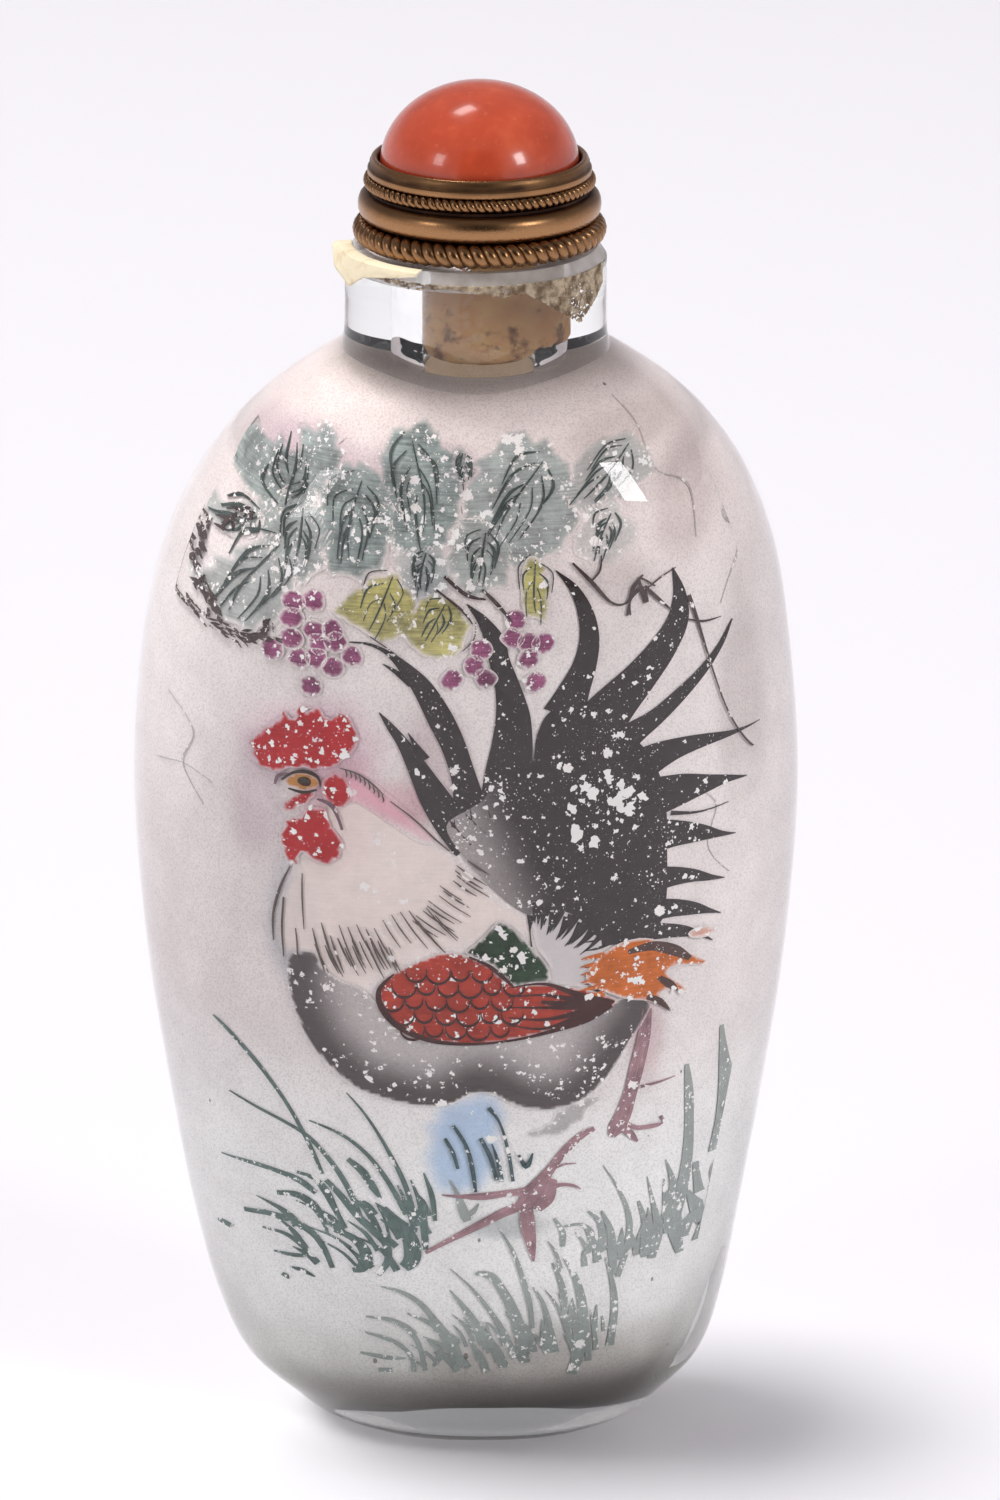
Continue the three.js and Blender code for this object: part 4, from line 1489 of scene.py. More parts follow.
COVERTS = [(7.3, 33.2), (8.2, 34.4), (9.4, 35.1), (10.8, 35.2), (12.0, 34.6), (13.2, 33.7), (14.3, 32.6),
           (12.6, 33.0), (12.0, 32.6), (12.6, 31.9), (13.2, 31.0), (12.0, 31.5), (11.6, 31.0), (12.2, 30.1),
           (11.0, 30.9), (9.8, 31.2), (8.6, 31.8), (7.6, 32.4)]

COVERT_SPOT = [(13.2, 35.0), (13.8, 35.3), (14.6, 34.9), (14.3, 34.5), (13.5, 34.6)]
COVERT_TIPS = [
    [(9.8, 34.4, 0.3), (11.2, 34.6, 0.6), (12.4, 34.1, 0.7), (13.3, 33.3, 0.3)],
    [(11.6, 32.4, 0.3), (12.2, 31.8, 0.5), (12.6, 31.3, 0.1)],
    [(10.9, 31.2, 0.3), (11.6, 30.8, 0.4), (12.2, 30.0, 0.1)],
]

SMUDGE = [(3.6, 22.4), (5.0, 22.2), (6.4, 22.8), (7.6, 23.8), (8.4, 24.7), (7.2, 24.8), (6.0, 24.2),
          (5.2, 23.4)]
BLUSH = [(-7.6, 46.7), (-6.2, 46.4), (-4.8, 45.4), (-3.0, 43.8), (-1.6, 42.4), (-2.6, 42.0), (-4.6, 43.3),
         (-6.4, 44.5), (-7.8, 44.9)]
THIGH = [(-2.5, 24.3), (-0.6, 25.4), (1.0, 25.9), (2.6, 25.2), (2.7, 22.6), (2.3, 20.2), (1.3, 18.4),
         (-0.4, 17.9),
         (-2.2, 18.7), (-2.9, 21.2)]

# Legs and toes, as strokes of (x, z, width).
FEET = [
    [(10.9, 30.4, 0.5), (10.7, 28.6, 0.75), (10.3, 26.6, 0.85), (9.9, 24.8, 0.8), (9.5, 23.4, 0.95),
     (9.1, 22.5, 1.0), (8.8, 21.9, 0.4)],
    [(9.4, 22.9, 0.4), (10.2, 22.3, 0.3), (11.2, 22.2, 0.3), (11.7, 22.3, 0.12), (11.6, 22.8, 0.2)],
    [(9.4, 22.5, 0.5), (9.9, 21.9, 0.45), (10.3, 21.3, 0.12)],
    [(10.5, 25.1, 0.22), (11.5, 25.2, 0.16), (12.4, 25.4, 0.06)],
    [(7.8, 22.6, 0.3), (7.0, 22.2, 0.5), (6.0, 21.2, 0.55), (5.2, 20.1, 0.6), (4.6, 19.2, 0.9),
     (4.0, 18.3, 1.3),
     (3.4, 17.6, 0.7)],
    [(5.2, 19.4, 0.8), (4.7, 18.2, 1.5), (4.3, 17.3, 0.7)],
    [(4.0, 18.6, 0.6), (2.6, 18.5, 0.45), (1.0, 18.3, 0.5), (-0.4, 18.3, 0.25), (-1.5, 18.4, 0.08)],
    [(3.6, 17.7, 0.7), (2.2, 17.1, 0.6), (0.6, 16.2, 0.5), (-1.0, 15.3, 0.35), (-2.5, 14.4, 0.25)],
    [(3.7, 17.4, 0.8), (3.8, 16.2, 0.9), (4.0, 14.9, 0.6), (4.15, 13.7, 0.12)],
    [(4.9, 18.7, 0.5), (5.8, 18.9, 0.25), (6.5, 18.8, 0.2), (7.0, 18.5, 0.06)],
    [(5.2, 20.0, 0.2), (6.0, 20.3, 0.14), (6.7, 20.3, 0.05)],
]

# Blades of grass drawn one by one, as strokes of (x, z, width); the tufts between them are grown.
TALL_GRASS = [
    [(-14.8, 29.0, 0.1), (-14.0, 28.2, 0.22), (-12.7, 26.7, 0.25), (-11.6, 25.2, 0.22), (-10.6, 23.6, 0.22),
     (-9.6, 21.6, 0.25), (-8.7, 19.4, 0.2)],
    [(-13.9, 24.0, 0.08), (-12.4, 23.3, 0.18), (-11.0, 22.7, 0.2), (-9.6, 21.9, 0.25), (-8.2, 20.3, 0.3),
     (-7.1, 18.4, 0.35), (-6.3, 16.2, 0.3)],
    [(-7.4, 25.3, 0.06), (-6.4, 24.1, 0.14), (-5.5, 22.7, 0.18), (-4.6, 21.0, 0.25), (-3.8, 19.2, 0.32),
     (-3.2, 17.2, 0.3)],
    [(-9.5, 23.0, 0.08), (-8.1, 22.5, 0.18), (-6.9, 21.8, 0.22), (-5.7, 20.6, 0.26), (-4.6, 18.9, 0.32),
     (-3.7, 17.0, 0.3)],
    [(-14.0, 19.3, 0.08), (-12.6, 19.3, 0.28), (-11.2, 19.1, 0.3), (-10.0, 18.7, 0.42), (-9.1, 18.0, 0.3)],
    [(-11.3, 17.6, 0.3), (-10.2, 17.7, 0.42), (-9.3, 17.2, 0.5), (-8.7, 16.3, 0.4), (-8.4, 15.3, 0.15)],
    [(-12.9, 15.8, 0.3), (-11.6, 16.0, 0.35), (-10.4, 15.8, 0.42), (-9.3, 15.2, 0.42), (-8.6, 14.2, 0.35),
     (-8.1, 12.9, 0.3)],
    [(-12.0, 14.9, 0.12), (-10.8, 14.8, 0.25), (-9.8, 14.1, 0.3), (-9.3, 13.4, 0.1)],
    [(-11.4, 13.4, 0.1), (-10.3, 13.4, 0.28), (-9.2, 13.6, 0.12)],
    [(-10.5, 12.5, 0.1), (-9.8, 12.4, 0.3), (-9.1, 12.1, 0.1)],
    [(-10.9, 11.9, 0.25), (-10.5, 11.7, 0.3)],
    [(-13.9, 14.4, 0.3), (-13.2, 14.2, 0.35)],
    [(-7.2, 20.6, 0.3), (-6.3, 19.8, 0.5), (-5.7, 18.8, 0.5), (-5.2, 18.0, 0.15)],
    [(-8.5, 19.0, 0.3), (-7.6, 18.0, 0.42), (-6.7, 16.8, 0.45), (-5.7, 15.8, 0.5), (-4.9, 14.9, 0.5),
     (-4.8, 13.7, 0.45), (-5.4, 12.7, 0.35)],
    [(-8.0, 15.6, 0.3), (-6.8, 15.1, 0.5), (-6.1, 14.1, 0.75), (-6.3, 13.2, 0.7), (-6.9, 12.9, 0.3)],
    [(-10.2, 19.3, 0.2), (-9.2, 19.0, 0.3), (-8.5, 18.2, 0.5), (-7.9, 16.9, 0.35), (-7.3, 15.8, 0.2)],
    [(-3.9, 16.3, 0.6), (-3.4, 15.2, 1.0), (-3.3, 14.0, 1.05), (-3.8, 13.3, 0.7)],
    [(-5.0, 17.4, 0.3), (-4.1, 16.4, 0.6), (-3.0, 15.9, 0.3)],
    [(-3.4, 19.4, 0.1), (-2.9, 18.0, 0.3), (-2.6, 16.4, 0.5), (-2.5, 14.6, 0.35)],
    [(-2.6, 19.9, 0.1), (-2.1, 18.3, 0.35), (-1.9, 16.6, 0.25)],
    [(-4.2, 19.0, 0.08), (-3.6, 17.6, 0.35), (-3.1, 16.2, 0.6)],
    [(-1.0, 19.4, 0.15), (-0.5, 18.4, 0.3), (-0.2, 17.4, 0.6), (0.1, 16.6, 0.5)],
    [(0.8, 17.8, 0.1), (0.4, 17.2, 0.35), (-0.3, 16.8, 0.2)],
    [(-5.2, 11.9, 0.08), (-4.0, 11.6, 0.25), (-2.8, 10.8, 0.35), (-1.7, 9.3, 0.45), (-0.8, 8.0, 0.55),
     (-0.2, 6.5, 0.25)],
    [(-6.1, 9.7, 0.12), (-4.7, 9.6, 0.28), (-3.6, 9.0, 0.35), (-2.9, 7.9, 0.3), (-2.5, 6.1, 0.3)],
    [(-6.3, 8.6, 0.1), (-5.0, 8.3, 0.25), (-4.0, 7.8, 0.3), (-3.3, 6.9, 0.3), (-3.2, 6.0, 0.3)],
    [(-6.4, 7.1, 0.15), (-4.9, 6.9, 0.3), (-3.7, 6.9, 0.1)],
    [(-5.3, 6.0, 0.25), (-4.5, 6.0, 0.35)],
    [(-3.6, 10.1, 0.1), (-2.3, 9.5, 0.3), (-1.3, 8.6, 0.3)],
    [(-2.4, 8.3, 0.1), (-1.6, 7.4, 0.45), (-2.0, 6.4, 0.2)],
    [(-1.0, 11.8, 0.08), (0.0, 10.4, 0.4), (0.9, 9.0, 0.5), (1.8, 7.6, 0.6), (2.4, 6.3, 0.6)],
    [(0.6, 13.0, 0.25), (1.5, 12.8, 0.5), (2.1, 12.0, 0.55), (2.7, 10.8, 0.65), (3.3, 9.0, 0.8),
     (3.7, 7.2, 0.9)],
    [(-1.0, 13.3, 0.06), (0.3, 12.0, 0.16), (1.5, 10.3, 0.3), (2.4, 8.6, 0.4), (3.0, 6.9, 0.4)],
    [(2.1, 16.0, 0.08), (2.9, 14.4, 0.25), (3.5, 12.5, 0.32), (3.9, 10.8, 0.35), (4.1, 9.0, 0.25)],
    [(4.1, 11.9, 0.08), (4.7, 10.8, 0.25), (5.1, 9.0, 0.45), (5.3, 7.2, 0.8)],
    [(5.3, 13.5, 0.15), (5.8, 12.1, 0.35), (6.0, 10.8, 0.4), (5.9, 9.3, 0.15)],
    [(5.9, 13.9, 0.06), (6.6, 12.5, 0.35), (7.0, 10.8, 0.55), (7.1, 9.0, 0.65), (6.9, 7.2, 0.75),
     (6.4, 5.6, 0.6)],
    [(6.1, 8.9, 0.15), (6.5, 7.6, 0.5)],
    [(8.4, 13.5, 0.06), (8.8, 11.6, 0.3), (8.9, 9.7, 0.4), (8.6, 7.2, 0.45)],
    [(8.2, 9.4, 0.1), (8.3, 8.3, 0.25)],
    [(8.3, 20.0, 0.05), (9.0, 18.6, 0.14), (9.6, 17.0, 0.25), (9.8, 15.4, 0.35), (9.6, 13.8, 0.35),
     (9.1, 12.0, 0.3)],
    [(10.3, 17.1, 0.15), (10.6, 15.5, 0.3), (10.4, 13.3, 0.2)],
    [(10.8, 18.7, 0.05), (11.1, 16.6, 0.25), (11.3, 14.8, 0.5), (10.9, 12.8, 0.4)],
    [(13.0, 26.0, 0.2), (13.05, 24.3, 0.4), (13.0, 22.0, 0.4), (12.8, 19.4, 0.45), (12.4, 16.9, 0.5),
     (12.0, 14.7, 0.4)],
    [(14.6, 28.0, 0.12), (14.5, 25.8, 0.25), (14.3, 23.4, 0.28), (14.0, 21.2, 0.25), (13.6, 19.1, 0.2)],
    [(11.8, 19.6, 0.06), (12.1, 17.8, 0.35), (12.0, 15.4, 0.7), (12.1, 12.6, 0.25)],
    [(13.8, 17.6, 0.1), (13.5, 15.7, 0.4), (13.0, 14.3, 0.4), (12.6, 13.0, 0.25)],
    [(14.7, 18.0, 0.06), (14.4, 16.3, 0.28), (14.0, 14.8, 0.15)],
    [(13.1, 18.8, 0.2), (13.0, 16.5, 0.25)],
    [(6.0, 16.0, 0.15), (7.0, 16.0, 0.25), (7.6, 15.3, 0.4), (7.4, 14.0, 0.3)],
    [(7.4, 16.9, 0.15), (8.0, 16.2, 0.3), (8.3, 15.0, 0.45), (8.0, 14.2, 0.3)],
    [(8.2, 16.8, 0.15), (8.7, 15.4, 0.4), (8.8, 13.8, 0.5), (8.9, 12.2, 0.3)],
    [(5.4, 16.6, 0.15), (5.9, 15.6, 0.35), (5.9, 14.6, 0.3)],
]

# Small marks on the thigh.
THIGH_MARKS = [
    [(-0.8, 23.2, 0.2), (0.0, 21.8, 0.25), (0.4, 20.2, 0.3), (0.6, 18.6, 0.2)],
    [(-1.3, 22.3, 0.2), (-0.8, 21.3, 0.25), (-0.5, 20.2, 0.2)],
    [(0.9, 22.3, 0.25), (1.5, 21.0, 0.28), (1.9, 19.4, 0.25)],
    [(1.6, 21.9, 0.1), (2.0, 20.6, 0.25), (2.2, 19.3, 0.3)],
    [(1.4, 24.4, 0.3), (2.1, 23.3, 0.16), (2.6, 21.4, 0.22), (2.9, 19.3, 0.2)],
    [(3.1, 21.4, 0.1), (3.7, 20.3, 0.35), (4.1, 21.2, 0.1)],
]


def leaf_veins(work, root, heart, count, width, seed):
    """Uneven dark strokes that fan out beside a leaf's midrib."""
    rng = random.Random(seed)
    dx, dz = heart[0] - root[0], heart[1] - root[1]
    length = math.hypot(dx, dz)
    ux, uz = dx / length, dz / length
    reach_mm = min(1.7, 0.62 * length)
    sway = rng.uniform(-0.35, 0.35)
    work.stroke([(root[0], root[1], width * 0.5), (heart[0] + uz * sway, heart[1] - ux * sway, width * 0.9),
                 (heart[0] + ux * length * 0.6, heart[1] + uz * length * 0.6, 0.04)], 5)
    for k in range(count):
        side = -1 if k % 2 else 1
        start = -0.1 + 1.1 * k / count + rng.uniform(-0.08, 0.08)
        x, z = root[0] + dx * start, root[1] + dz * start
        bow = side * reach_mm * (1.0 - 0.75 * start) * rng.uniform(0.75, 1.1)
        thick, run = width * rng.uniform(0.5, 1.4), length * rng.uniform(0.7, 1.15)
        work.stroke([
            (x + uz * bow * 0.25, z - ux * bow * 0.25, 0.06),
            (x + uz * bow * 0.85 + ux * run * 0.35, z - ux * bow * 0.85 + uz * run * 0.35, thick),
            (x + uz * bow * 0.8 + ux * run, z - ux * bow * 0.8 + uz * run, 0.05)], 4)


def swollen(outline, growth):
    """An outline grown about its middle."""
    x, z = (sum(values) / len(outline) for values in zip(*outline))
    return [(x + (px - x) * growth, z + (pz - z) * growth) for px, pz in outline]


def dry_brush(work, line, rng, thick=0.22):
    """Short overlapping dabs along a line, like a dry brush dragged over rough ground."""
    path = smooth_line(line, 5)
    for (x, z, _), (next_x, next_z, _) in zip(path, path[1:]):
        turn = math.atan2(next_z - z, next_x - x)
        for _ in range(2):
            lean, length = turn + rng.uniform(-0.6, 0.6), rng.uniform(0.25, 0.6)
            start_x, start_z = x + rng.uniform(-0.22, 0.22), z + rng.uniform(-0.22, 0.22)
            run_x, run_z = math.cos(lean) * length, math.sin(lean) * length
            work.stroke([
                (start_x, start_z, 0.05),
                (start_x + run_x / 2, start_z + run_z / 2, rng.uniform(0.3, 1) * thick),
                (start_x + run_x, start_z + run_z, 0.05)], 2)


class BOTTLE_OT_vine(bpy.types.Operator):
    """Paint the vine leaves, the young leaves, the twigs and the grapes"""
    bl_idname = "snuff_bottle.vine"
    bl_label = "Vine"

    def execute(self, context):
        colours = context.scene.bottle_paint
        leaf = paint_material("leaf_paint", colours.leaf, 0.5, 3.6, 0.7)
        young = paint_material("young_leaf_paint", colours.young_leaf, 0.4, 3.6, 0.6)
        grape = paint_material("grape_paint", colours.grape, 0.45, 4.0, 0.5)
        ink = paint_material("twig_ink", colours.twig, 0.7, 2.4, 0.8)
        leaves, veins = Brushwork(1), Brushwork(3)
        for outline, shade, root, heart in zip(LEAVES, LEAF_SHADES, LEAF_ROOTS, LEAF_HEARTS):
            leaves.patch(swollen(outline, LEAF_GROWTH), 0.5, wash=shade, edge=0.35, rough=0.6)
            leaf_veins(veins, root, heart, 9, 0.15, round(root[0] * 10))
        painted = leaves.make("vine_leaves", leaf)
        fresh = Brushwork(2)
        for outline, root, heart in zip(YOUNG_LEAVES, YOUNG_LEAF_ROOTS, YOUNG_LEAF_HEARTS):
            fresh.patch(outline, 0.5, wash=0.95, edge=0.3, rough=0.4)
            leaf_veins(veins, root, heart, 6, 0.12, round(root[0] * 10))
        fresh.make("young_leaves", young)
        veins.make("leaf_veins", paint_material("vein_ink", tone(74, 82, 80), 0.6, 2.6, 0.9))
        fruit = Brushwork(4)
        for k, (x, z) in enumerate(GRAPES):
            fruit.blob(x, z, 1.42, 1.36, edge=0.14, seed=k)
        bunch = fruit.make("grapes", grape)
        twigs = Brushwork(5)
        rng = random.Random(3)
        for line in TWIGS[:DRY_TWIGS]:
            dry_brush(twigs, line, rng)
        twigs.draw(TWIGS[SOLID_TWIGS:])
        twigs.make("vine_twigs", ink)
        Brushwork(1).draw(HAIRLINES, 8, wash=0.4).make("hairlines", bpy.data.materials["vein_ink"])
        add_losses("leaf_losses", painted, 16.0, 0.02, 0.22, 0.95, 2.6, 11)
        add_losses("grape_losses", bunch, 7.0, 0.03, 0.16, 0.3, 1.5, 12)
        return {"FINISHED"}


class BOTTLE_OT_head(bpy.types.Operator):
    """Paint the comb, wattles, face and beak"""
    bl_idname = "snuff_bottle.head"
    bl_label = "Head"

    def execute(self, context):
        colours = context.scene.bottle_paint
        red = paint_material("comb_paint", colours.comb, 0.7, 2.0, 0.2)
        work = Brushwork(5)
        for outline in (COMB, EAR_LOBE, BEAK_WATTLE, WATTLE):
            work.patch(outline, 0.45, edge=0.12, steps=4, rough=0.2)
        painted = work.make("comb_and_wattles", red)
        ochre = paint_material("face_paint", tone(196, 132, 60), 0.45, 2.2, 0.1)
        Brushwork(6).patch(FACE, 0.3, edge=0.12).make("face", ochre)
        eye = Brushwork(8).blob(-9.75, 45.75, 0.8, 0.62, seed=3).draw(BROWS)
        eye.make("eye_and_brow", paint_material("eye_ink", tone(52, 34, 26), 0.6, 1.4, 0.05))
        cheek = paint_material("cheek_ink", tone(112, 84, 96), 0.7, 1.6, 0.3)
        Brushwork(7).draw(BEAK).make("beak_and_cheek", cheek)
        add_losses("comb_losses", painted, 9.0, 0.02, 0.22, 0.3, 1.8, 21)
        return {"FINISHED"}


class BOTTLE_OT_neck(bpy.types.Operator):
    """Paint the cream neck feathers and their fine dark strokes"""
    bl_idname = "snuff_bottle.neck"
    bl_label = "Neck feathers"

    def execute(self, context):
        colours = context.scene.bottle_paint
        cream = paint_material("hackle_paint", colours.hackle, 0.86, 1.2, 0.15, cover=0.85)
        Brushwork(0).patch(HACKLE, 0.7, edge=0.7).make("neck_feathers", cream)
        rng = random.Random(5)
        lines = Brushwork(4)
        for share in spread(0, 1, 15):
            x, z = lerp(-9.3, -1.9, share), lerp(36.0, 37.5, share) + rng.uniform(-0.5, 0.5)
            lean = lerp(0.25, 0.75, share)
            length = lerp(2.6, 2.4, share) * rng.uniform(0.8, 1.25)
            lines.stroke(feather_line(x, z, lean, length, rng), 4)
        for share in spread(0, 1, 13):
            x, z = lerp(-2.0, 0.9, share) + rng.uniform(-0.3, 0.3), lerp(36.6, 40.6, share)
            lines.stroke(feather_line(x - 1.0, z + 0.4, 0.95, 2.3 * rng.uniform(0.7, 1.1), rng), 4)
        for x in spread(-9.0, -4.8, 16):
            x, z = x + rng.uniform(-0.2, 0.2), 35.2 + rng.uniform(-0.4, 0.4)
            lines.stroke(feather_line(x, z, 0.42, 2.0, rng), 4)
        lines.draw((
            [(-10.6, 40.1, 0.08), (-11.2, 38.6, 0.16), (-11.6, 36.8, 0.14), (-11.6, 35.0, 0.06)],
            [(-11.0, 38.0, 0.1), (-11.1, 36.0, 0.12), (-11.0, 34.0, 0.06)],
            [(-9.9, 39.7, 0.06), (-9.9, 38.0, 0.1), (-9.8, 36.0, 0.05)],
            [(-10.3, 36.0, 0.06), (-10.2, 34.8, 0.1), (-10.2, 33.6, 0.06)],
            [(-7.7, 46.8, 0.06), (-6.6, 46.5, 0.1), (-5.7, 45.9, 0.1), (-5.0, 45.2, 0.05)],
            [(-4.6, 44.8, 0.05), (-3.2, 43.7, 0.1), (-1.9, 42.4, 0.12), (-1.0, 41.6, 0.08)],
        ))
        for share in spread(0, 1, 9):
            x, z = lerp(-7.3, -5.1, share), 46.7 - 1.5 * share ** 1.6
            lines.stroke([(x, z, 0.05), (x + 0.1, z - 0.3, 0.09), (x + 0.05, z - 0.5, 0.04)], 3)
        lines.make("neck_feather_lines", paint_material("hackle_ink", tone(92, 78, 76), 0.7, 1.6, 0.3))
        return {"FINISHED"}


def feather_line(x, z, lean, length, rng):
    """One fine stroke that starts at (x, z) and runs down, leaning to the right."""
    across, down = math.sin(lean) * length, math.cos(lean) * length
    middle = (x + across * 0.45, z - down * 0.5, rng.uniform(0.08, 0.15))
    return [(x, z, 0.05), middle, (x + across, z - down, 0.04)]


class BOTTLE_OT_tail(bpy.types.Operator):
    """Paint the black tail feathers, with the flakes that they have lost"""
    bl_idname = "snuff_bottle.tail"
    bl_label = "Tail"

    def execute(self, context):
        black = paint_material("tail_paint", context.scene.bottle_paint.tail, 0.7, 1.3, 0.14)
        work = Brushwork(2)
        work.patch(TAIL_MASS, 0.6, shade=tail_shade)
        work.draw(TAIL_FEATHERS)
        rng = random.Random(9)
        for share in spread(0, 1, 16):
            x, z = lerp(4.2, 8.4, share), lerp(38.3, 36.2, share) + rng.uniform(-0.3, 0.3)
            slant = lerp(0.0, -1.5, share)
            work.stroke([(x, z, 0.5), (x + slant * 0.5, z - 0.9, 0.22), (x + slant, z - 1.5, 0.04)], 4)
        for z in spread(35.4, 32.0, 7):
            work.stroke([(8.8, z + 0.3, 0.2), (8.0, z, 0.16), (7.2, z - 0.1, 0.04)], 4)
        tail = work.make("tail_feathers", black)
        add_losses("tail_fine_losses", tail, 11.0, 0.012, 0.07, 0.6, 1.8, 31)
        add_losses("tail_losses", tail, 3.6, 0.03, 0.22, 0.8, 3.2, 32)
        worn = Brushwork(2).patch(WORN_AREA).surface("worn")
        add_losses("tail_worn_area", worn, 12.0, 0.03, 0.42, 0.6, 2.2, 33)
        bpy.data.objects.remove(worn)
        return {"FINISHED"}


def tail_shade(x, z):
    """Paint thins to grey at the lower left of the tail."""
    return 0.55 + 0.45 * smoothstep(x * 0.9 + (z - 38) * 0.35, 1.0, 5.0)


class BOTTLE_OT_body(bpy.types.Operator):
    """Paint breast and belly, wing, saddle, tail coverts and thigh"""
    bl_idname = "snuff_bottle.body"
    bl_label = "Body"

    def execute(self, context):
        colours = context.scene.bottle_paint
        grey = paint_material("breast_paint", colours.breast, 0.7, 1.8, 0.4)
        breast = Brushwork(3).patch(BODY, 0.5, edge=0.12, shade=breast_shade)
        painted = breast.make("breast_and_belly", grey)
        rust = paint_material("wing_paint", colours.wing, 0.5, 2.6, 0.25)
        wing = Brushwork(4).patch(WING, 0.5, edge=0.1).make("wing", rust)
        lines = Brushwork(6)
        add_wing_lines(lines)
        add_wing_scales(lines)
        lines.make("wing_lines", paint_material("wing_ink", tone(64, 18, 14), 0.5, 1.6, 0.1))
        green = paint_material("saddle_paint", colours.saddle, 0.4, 3.4, 0.4)
        saddle = Brushwork(5).patch(SADDLE, 0.45, edge=0.15).make("saddle_feathers", green)
        pale = paint_material("tuft_paint", tone(196, 188, 190), 0.9, 1.0, 0.1, cover=0.9)
        Brushwork(1).patch(TUFT, 0.6, edge=0.3).make("tail_tuft", pale)
        orange = paint_material("covert_paint", colours.covert, 0.6, 3.0, 0.5)
        coverts = Brushwork(5)
        coverts.patch(COVERTS, 0.4, edge=0.15, steps=3)
        for z in spread(34.4, 31.8, 6):
            coverts.stroke([(8.4, z, 0.4), (7.6, z - 0.1, 0.25), (7.0, z - 0.2, 0.05)], 4)
        coverts.patch(COVERT_SPOT, 0.4, wash=0.6, edge=0.2)
        tips = coverts.make("tail_coverts", orange)
        ink = paint_material("tip_ink", tone(74, 48, 42), 0.7, 1.6, 0.5)
        Brushwork(6).draw(COVERT_TIPS).make("covert_tips", ink)
        Brushwork(1).patch(SMUDGE, 0.4, wash=0.5, edge=0.2, rough=0.3).make("belly_smudge", grey)
        blush = paint_material("neck_blush", tone(222, 150, 170), 0.9, 1.2, 0.1, cover=0.55)
        Brushwork(1.5).patch(BLUSH, 0.5, edge=0.7).make("neck_blush", blush)
        blue = paint_material("thigh_wash", colours.thigh, 0.82, 1.4, 0.05, cover=0.9)
        Brushwork(0).patch(THIGH, 0.5, wash=0.7, edge=1.3, rough=0.5).make("thigh", blue)
        add_losses("breast_losses", painted, 9.0, 0.015, 0.15, 0.95, 3.4, 41)
        add_losses("wing_losses", wing, 3.4, 0.03, 0.24, 0.2, 2.0, 42)
        add_losses("saddle_losses", saddle, 3.0, 0.04, 0.36, 0.2, 2.0, 43)
        add_losses("covert_losses", tips, 7.0, 0.03, 0.28, 0.5, 1.6, 44)
        return {"FINISHED"}


def breast_shade(x, z):
    """Dark along the bird's lower outline, thinning to pale grey below the wing."""
    gap = min(math.hypot(x - px, z - pz) for px, pz in smooth_line(BODY[:19], 3))
    return lerp(0.42, 1.0, smoothstep(gap, 3.8, 0.8))


def add_wing_lines(lines):
    """Dark outlines of the wing: its lower rim, and long feathers towards its tip."""
    lines.draw(WING_LINES)
    for start, bow in WING_FEATHERS:
        lines.stroke([(2.6, start, 0.06), (4.8, start - 0.1 + bow, 0.18), (7.0, 0.55 * start + 13.9, 0.4),
                      (8.9, 31.2, 0.2)])
    lines.draw(WING_JOINTS)


def scale_places():
    """Middles of the wing's overlapping scales, row by row."""
    for row in range(6):
        z = 33.6 - 0.95 * row
        for column in range(7):
            x = -4.4 + 1.35 * column + (0.67 if row % 2 else 0.0) - 0.06 * row
            inside_left = x > -4.7 + abs(z - 31.9) * 0.5
            inside_right = x < 3.4 and z < 34.5 - max(0.0, x - 0.4) * 0.55
            if inside_left and inside_right and z > 29.2 + max(0.0, -x - 1.5) * 0.3:
                yield x, z


def add_wing_scales(scales):
    """Overlapping scales, each drawn as a dark arc."""
    for k, (x, z) in enumerate(scale_places()):
        size = 0.66 + 0.12 * math.sin(k * 2.1)
        arc_line = [(x + size * math.cos(t), z - 1.05 * size * math.sin(t), 0.05 + 0.13 * math.sin(t))
                    for t in spread(-0.25, math.pi + 0.25, 6)]
        scales.stroke(arc_line, 3)


class BOTTLE_OT_grass(bpy.types.Operator):
    """Paint the feet, the grass and the small marks on the thigh"""
    bl_idname = "snuff_bottle.grass"
    bl_label = "Feet and grass"

    def execute(self, context):
        colours = context.scene.bottle_paint
        mauve = paint_material("foot_paint", colours.foot, 0.55, 3.4, 0.9)
        Brushwork(3).draw(FEET).make("legs_and_toes", mauve)
        blades = Brushwork(2)
        for line in TALL_GRASS:
            blades.stroke(line, 5, wash=grass_wash(line[0][0], line[-1][1]))
        add_tufts(blades)
        blades.make("grass", paint_material("grass_paint", colours.grass, 0.5, 3.2, 0.85))
        ink = paint_material("mark_ink", tone(62, 84, 90), 0.6, 2.6, 0.7)
        Brushwork(4).draw(THIGH_MARKS, 5).make("thigh_marks", ink)
        back = Brushwork(2, face=1)
        for line in TALL_GRASS[:24:2]:
            back.stroke([(-x * 0.8, z + 1.5, width) for x, z, width in line], 5, wash=0.8, soft=True)
        back.make("back_grass", bpy.data.materials["grass_paint"])
        return {"FINISHED"}


def grass_wash(x, z):
    """The left tufts are painted darker than the others."""
    return 1.0 if x < -2 and z > 11 else 0.7


# Roots of grown tufts: middle, half-size of the patch, count, tallest blade and lean.
TUFTS = [
    ((-7.2, 14.2), (3.2, 1.6), 16, 3.4, -0.9),
    ((-3.8, 15.4), (1.8, 1.6), 12, 3.0, -0.6),
    ((-1.0, 7.4), (2.6, 1.4), 14, 3.0, -0.7),
    ((2.8, 7.4), (2.4, 1.2), 14, 3.8, -0.5),
    ((6.0, 7.6), (2.4, 1.4), 10, 4.0, -0.2),
    ((7.4, 13.4), (2.0, 0.9), 9, 2.4, -0.4),
    ((10.2, 13.4), (1.4, 1.0), 10, 3.4, 0.1),
    ((12.6, 14.6), (1.2, 1.4), 9, 4.2, 0.2),
]


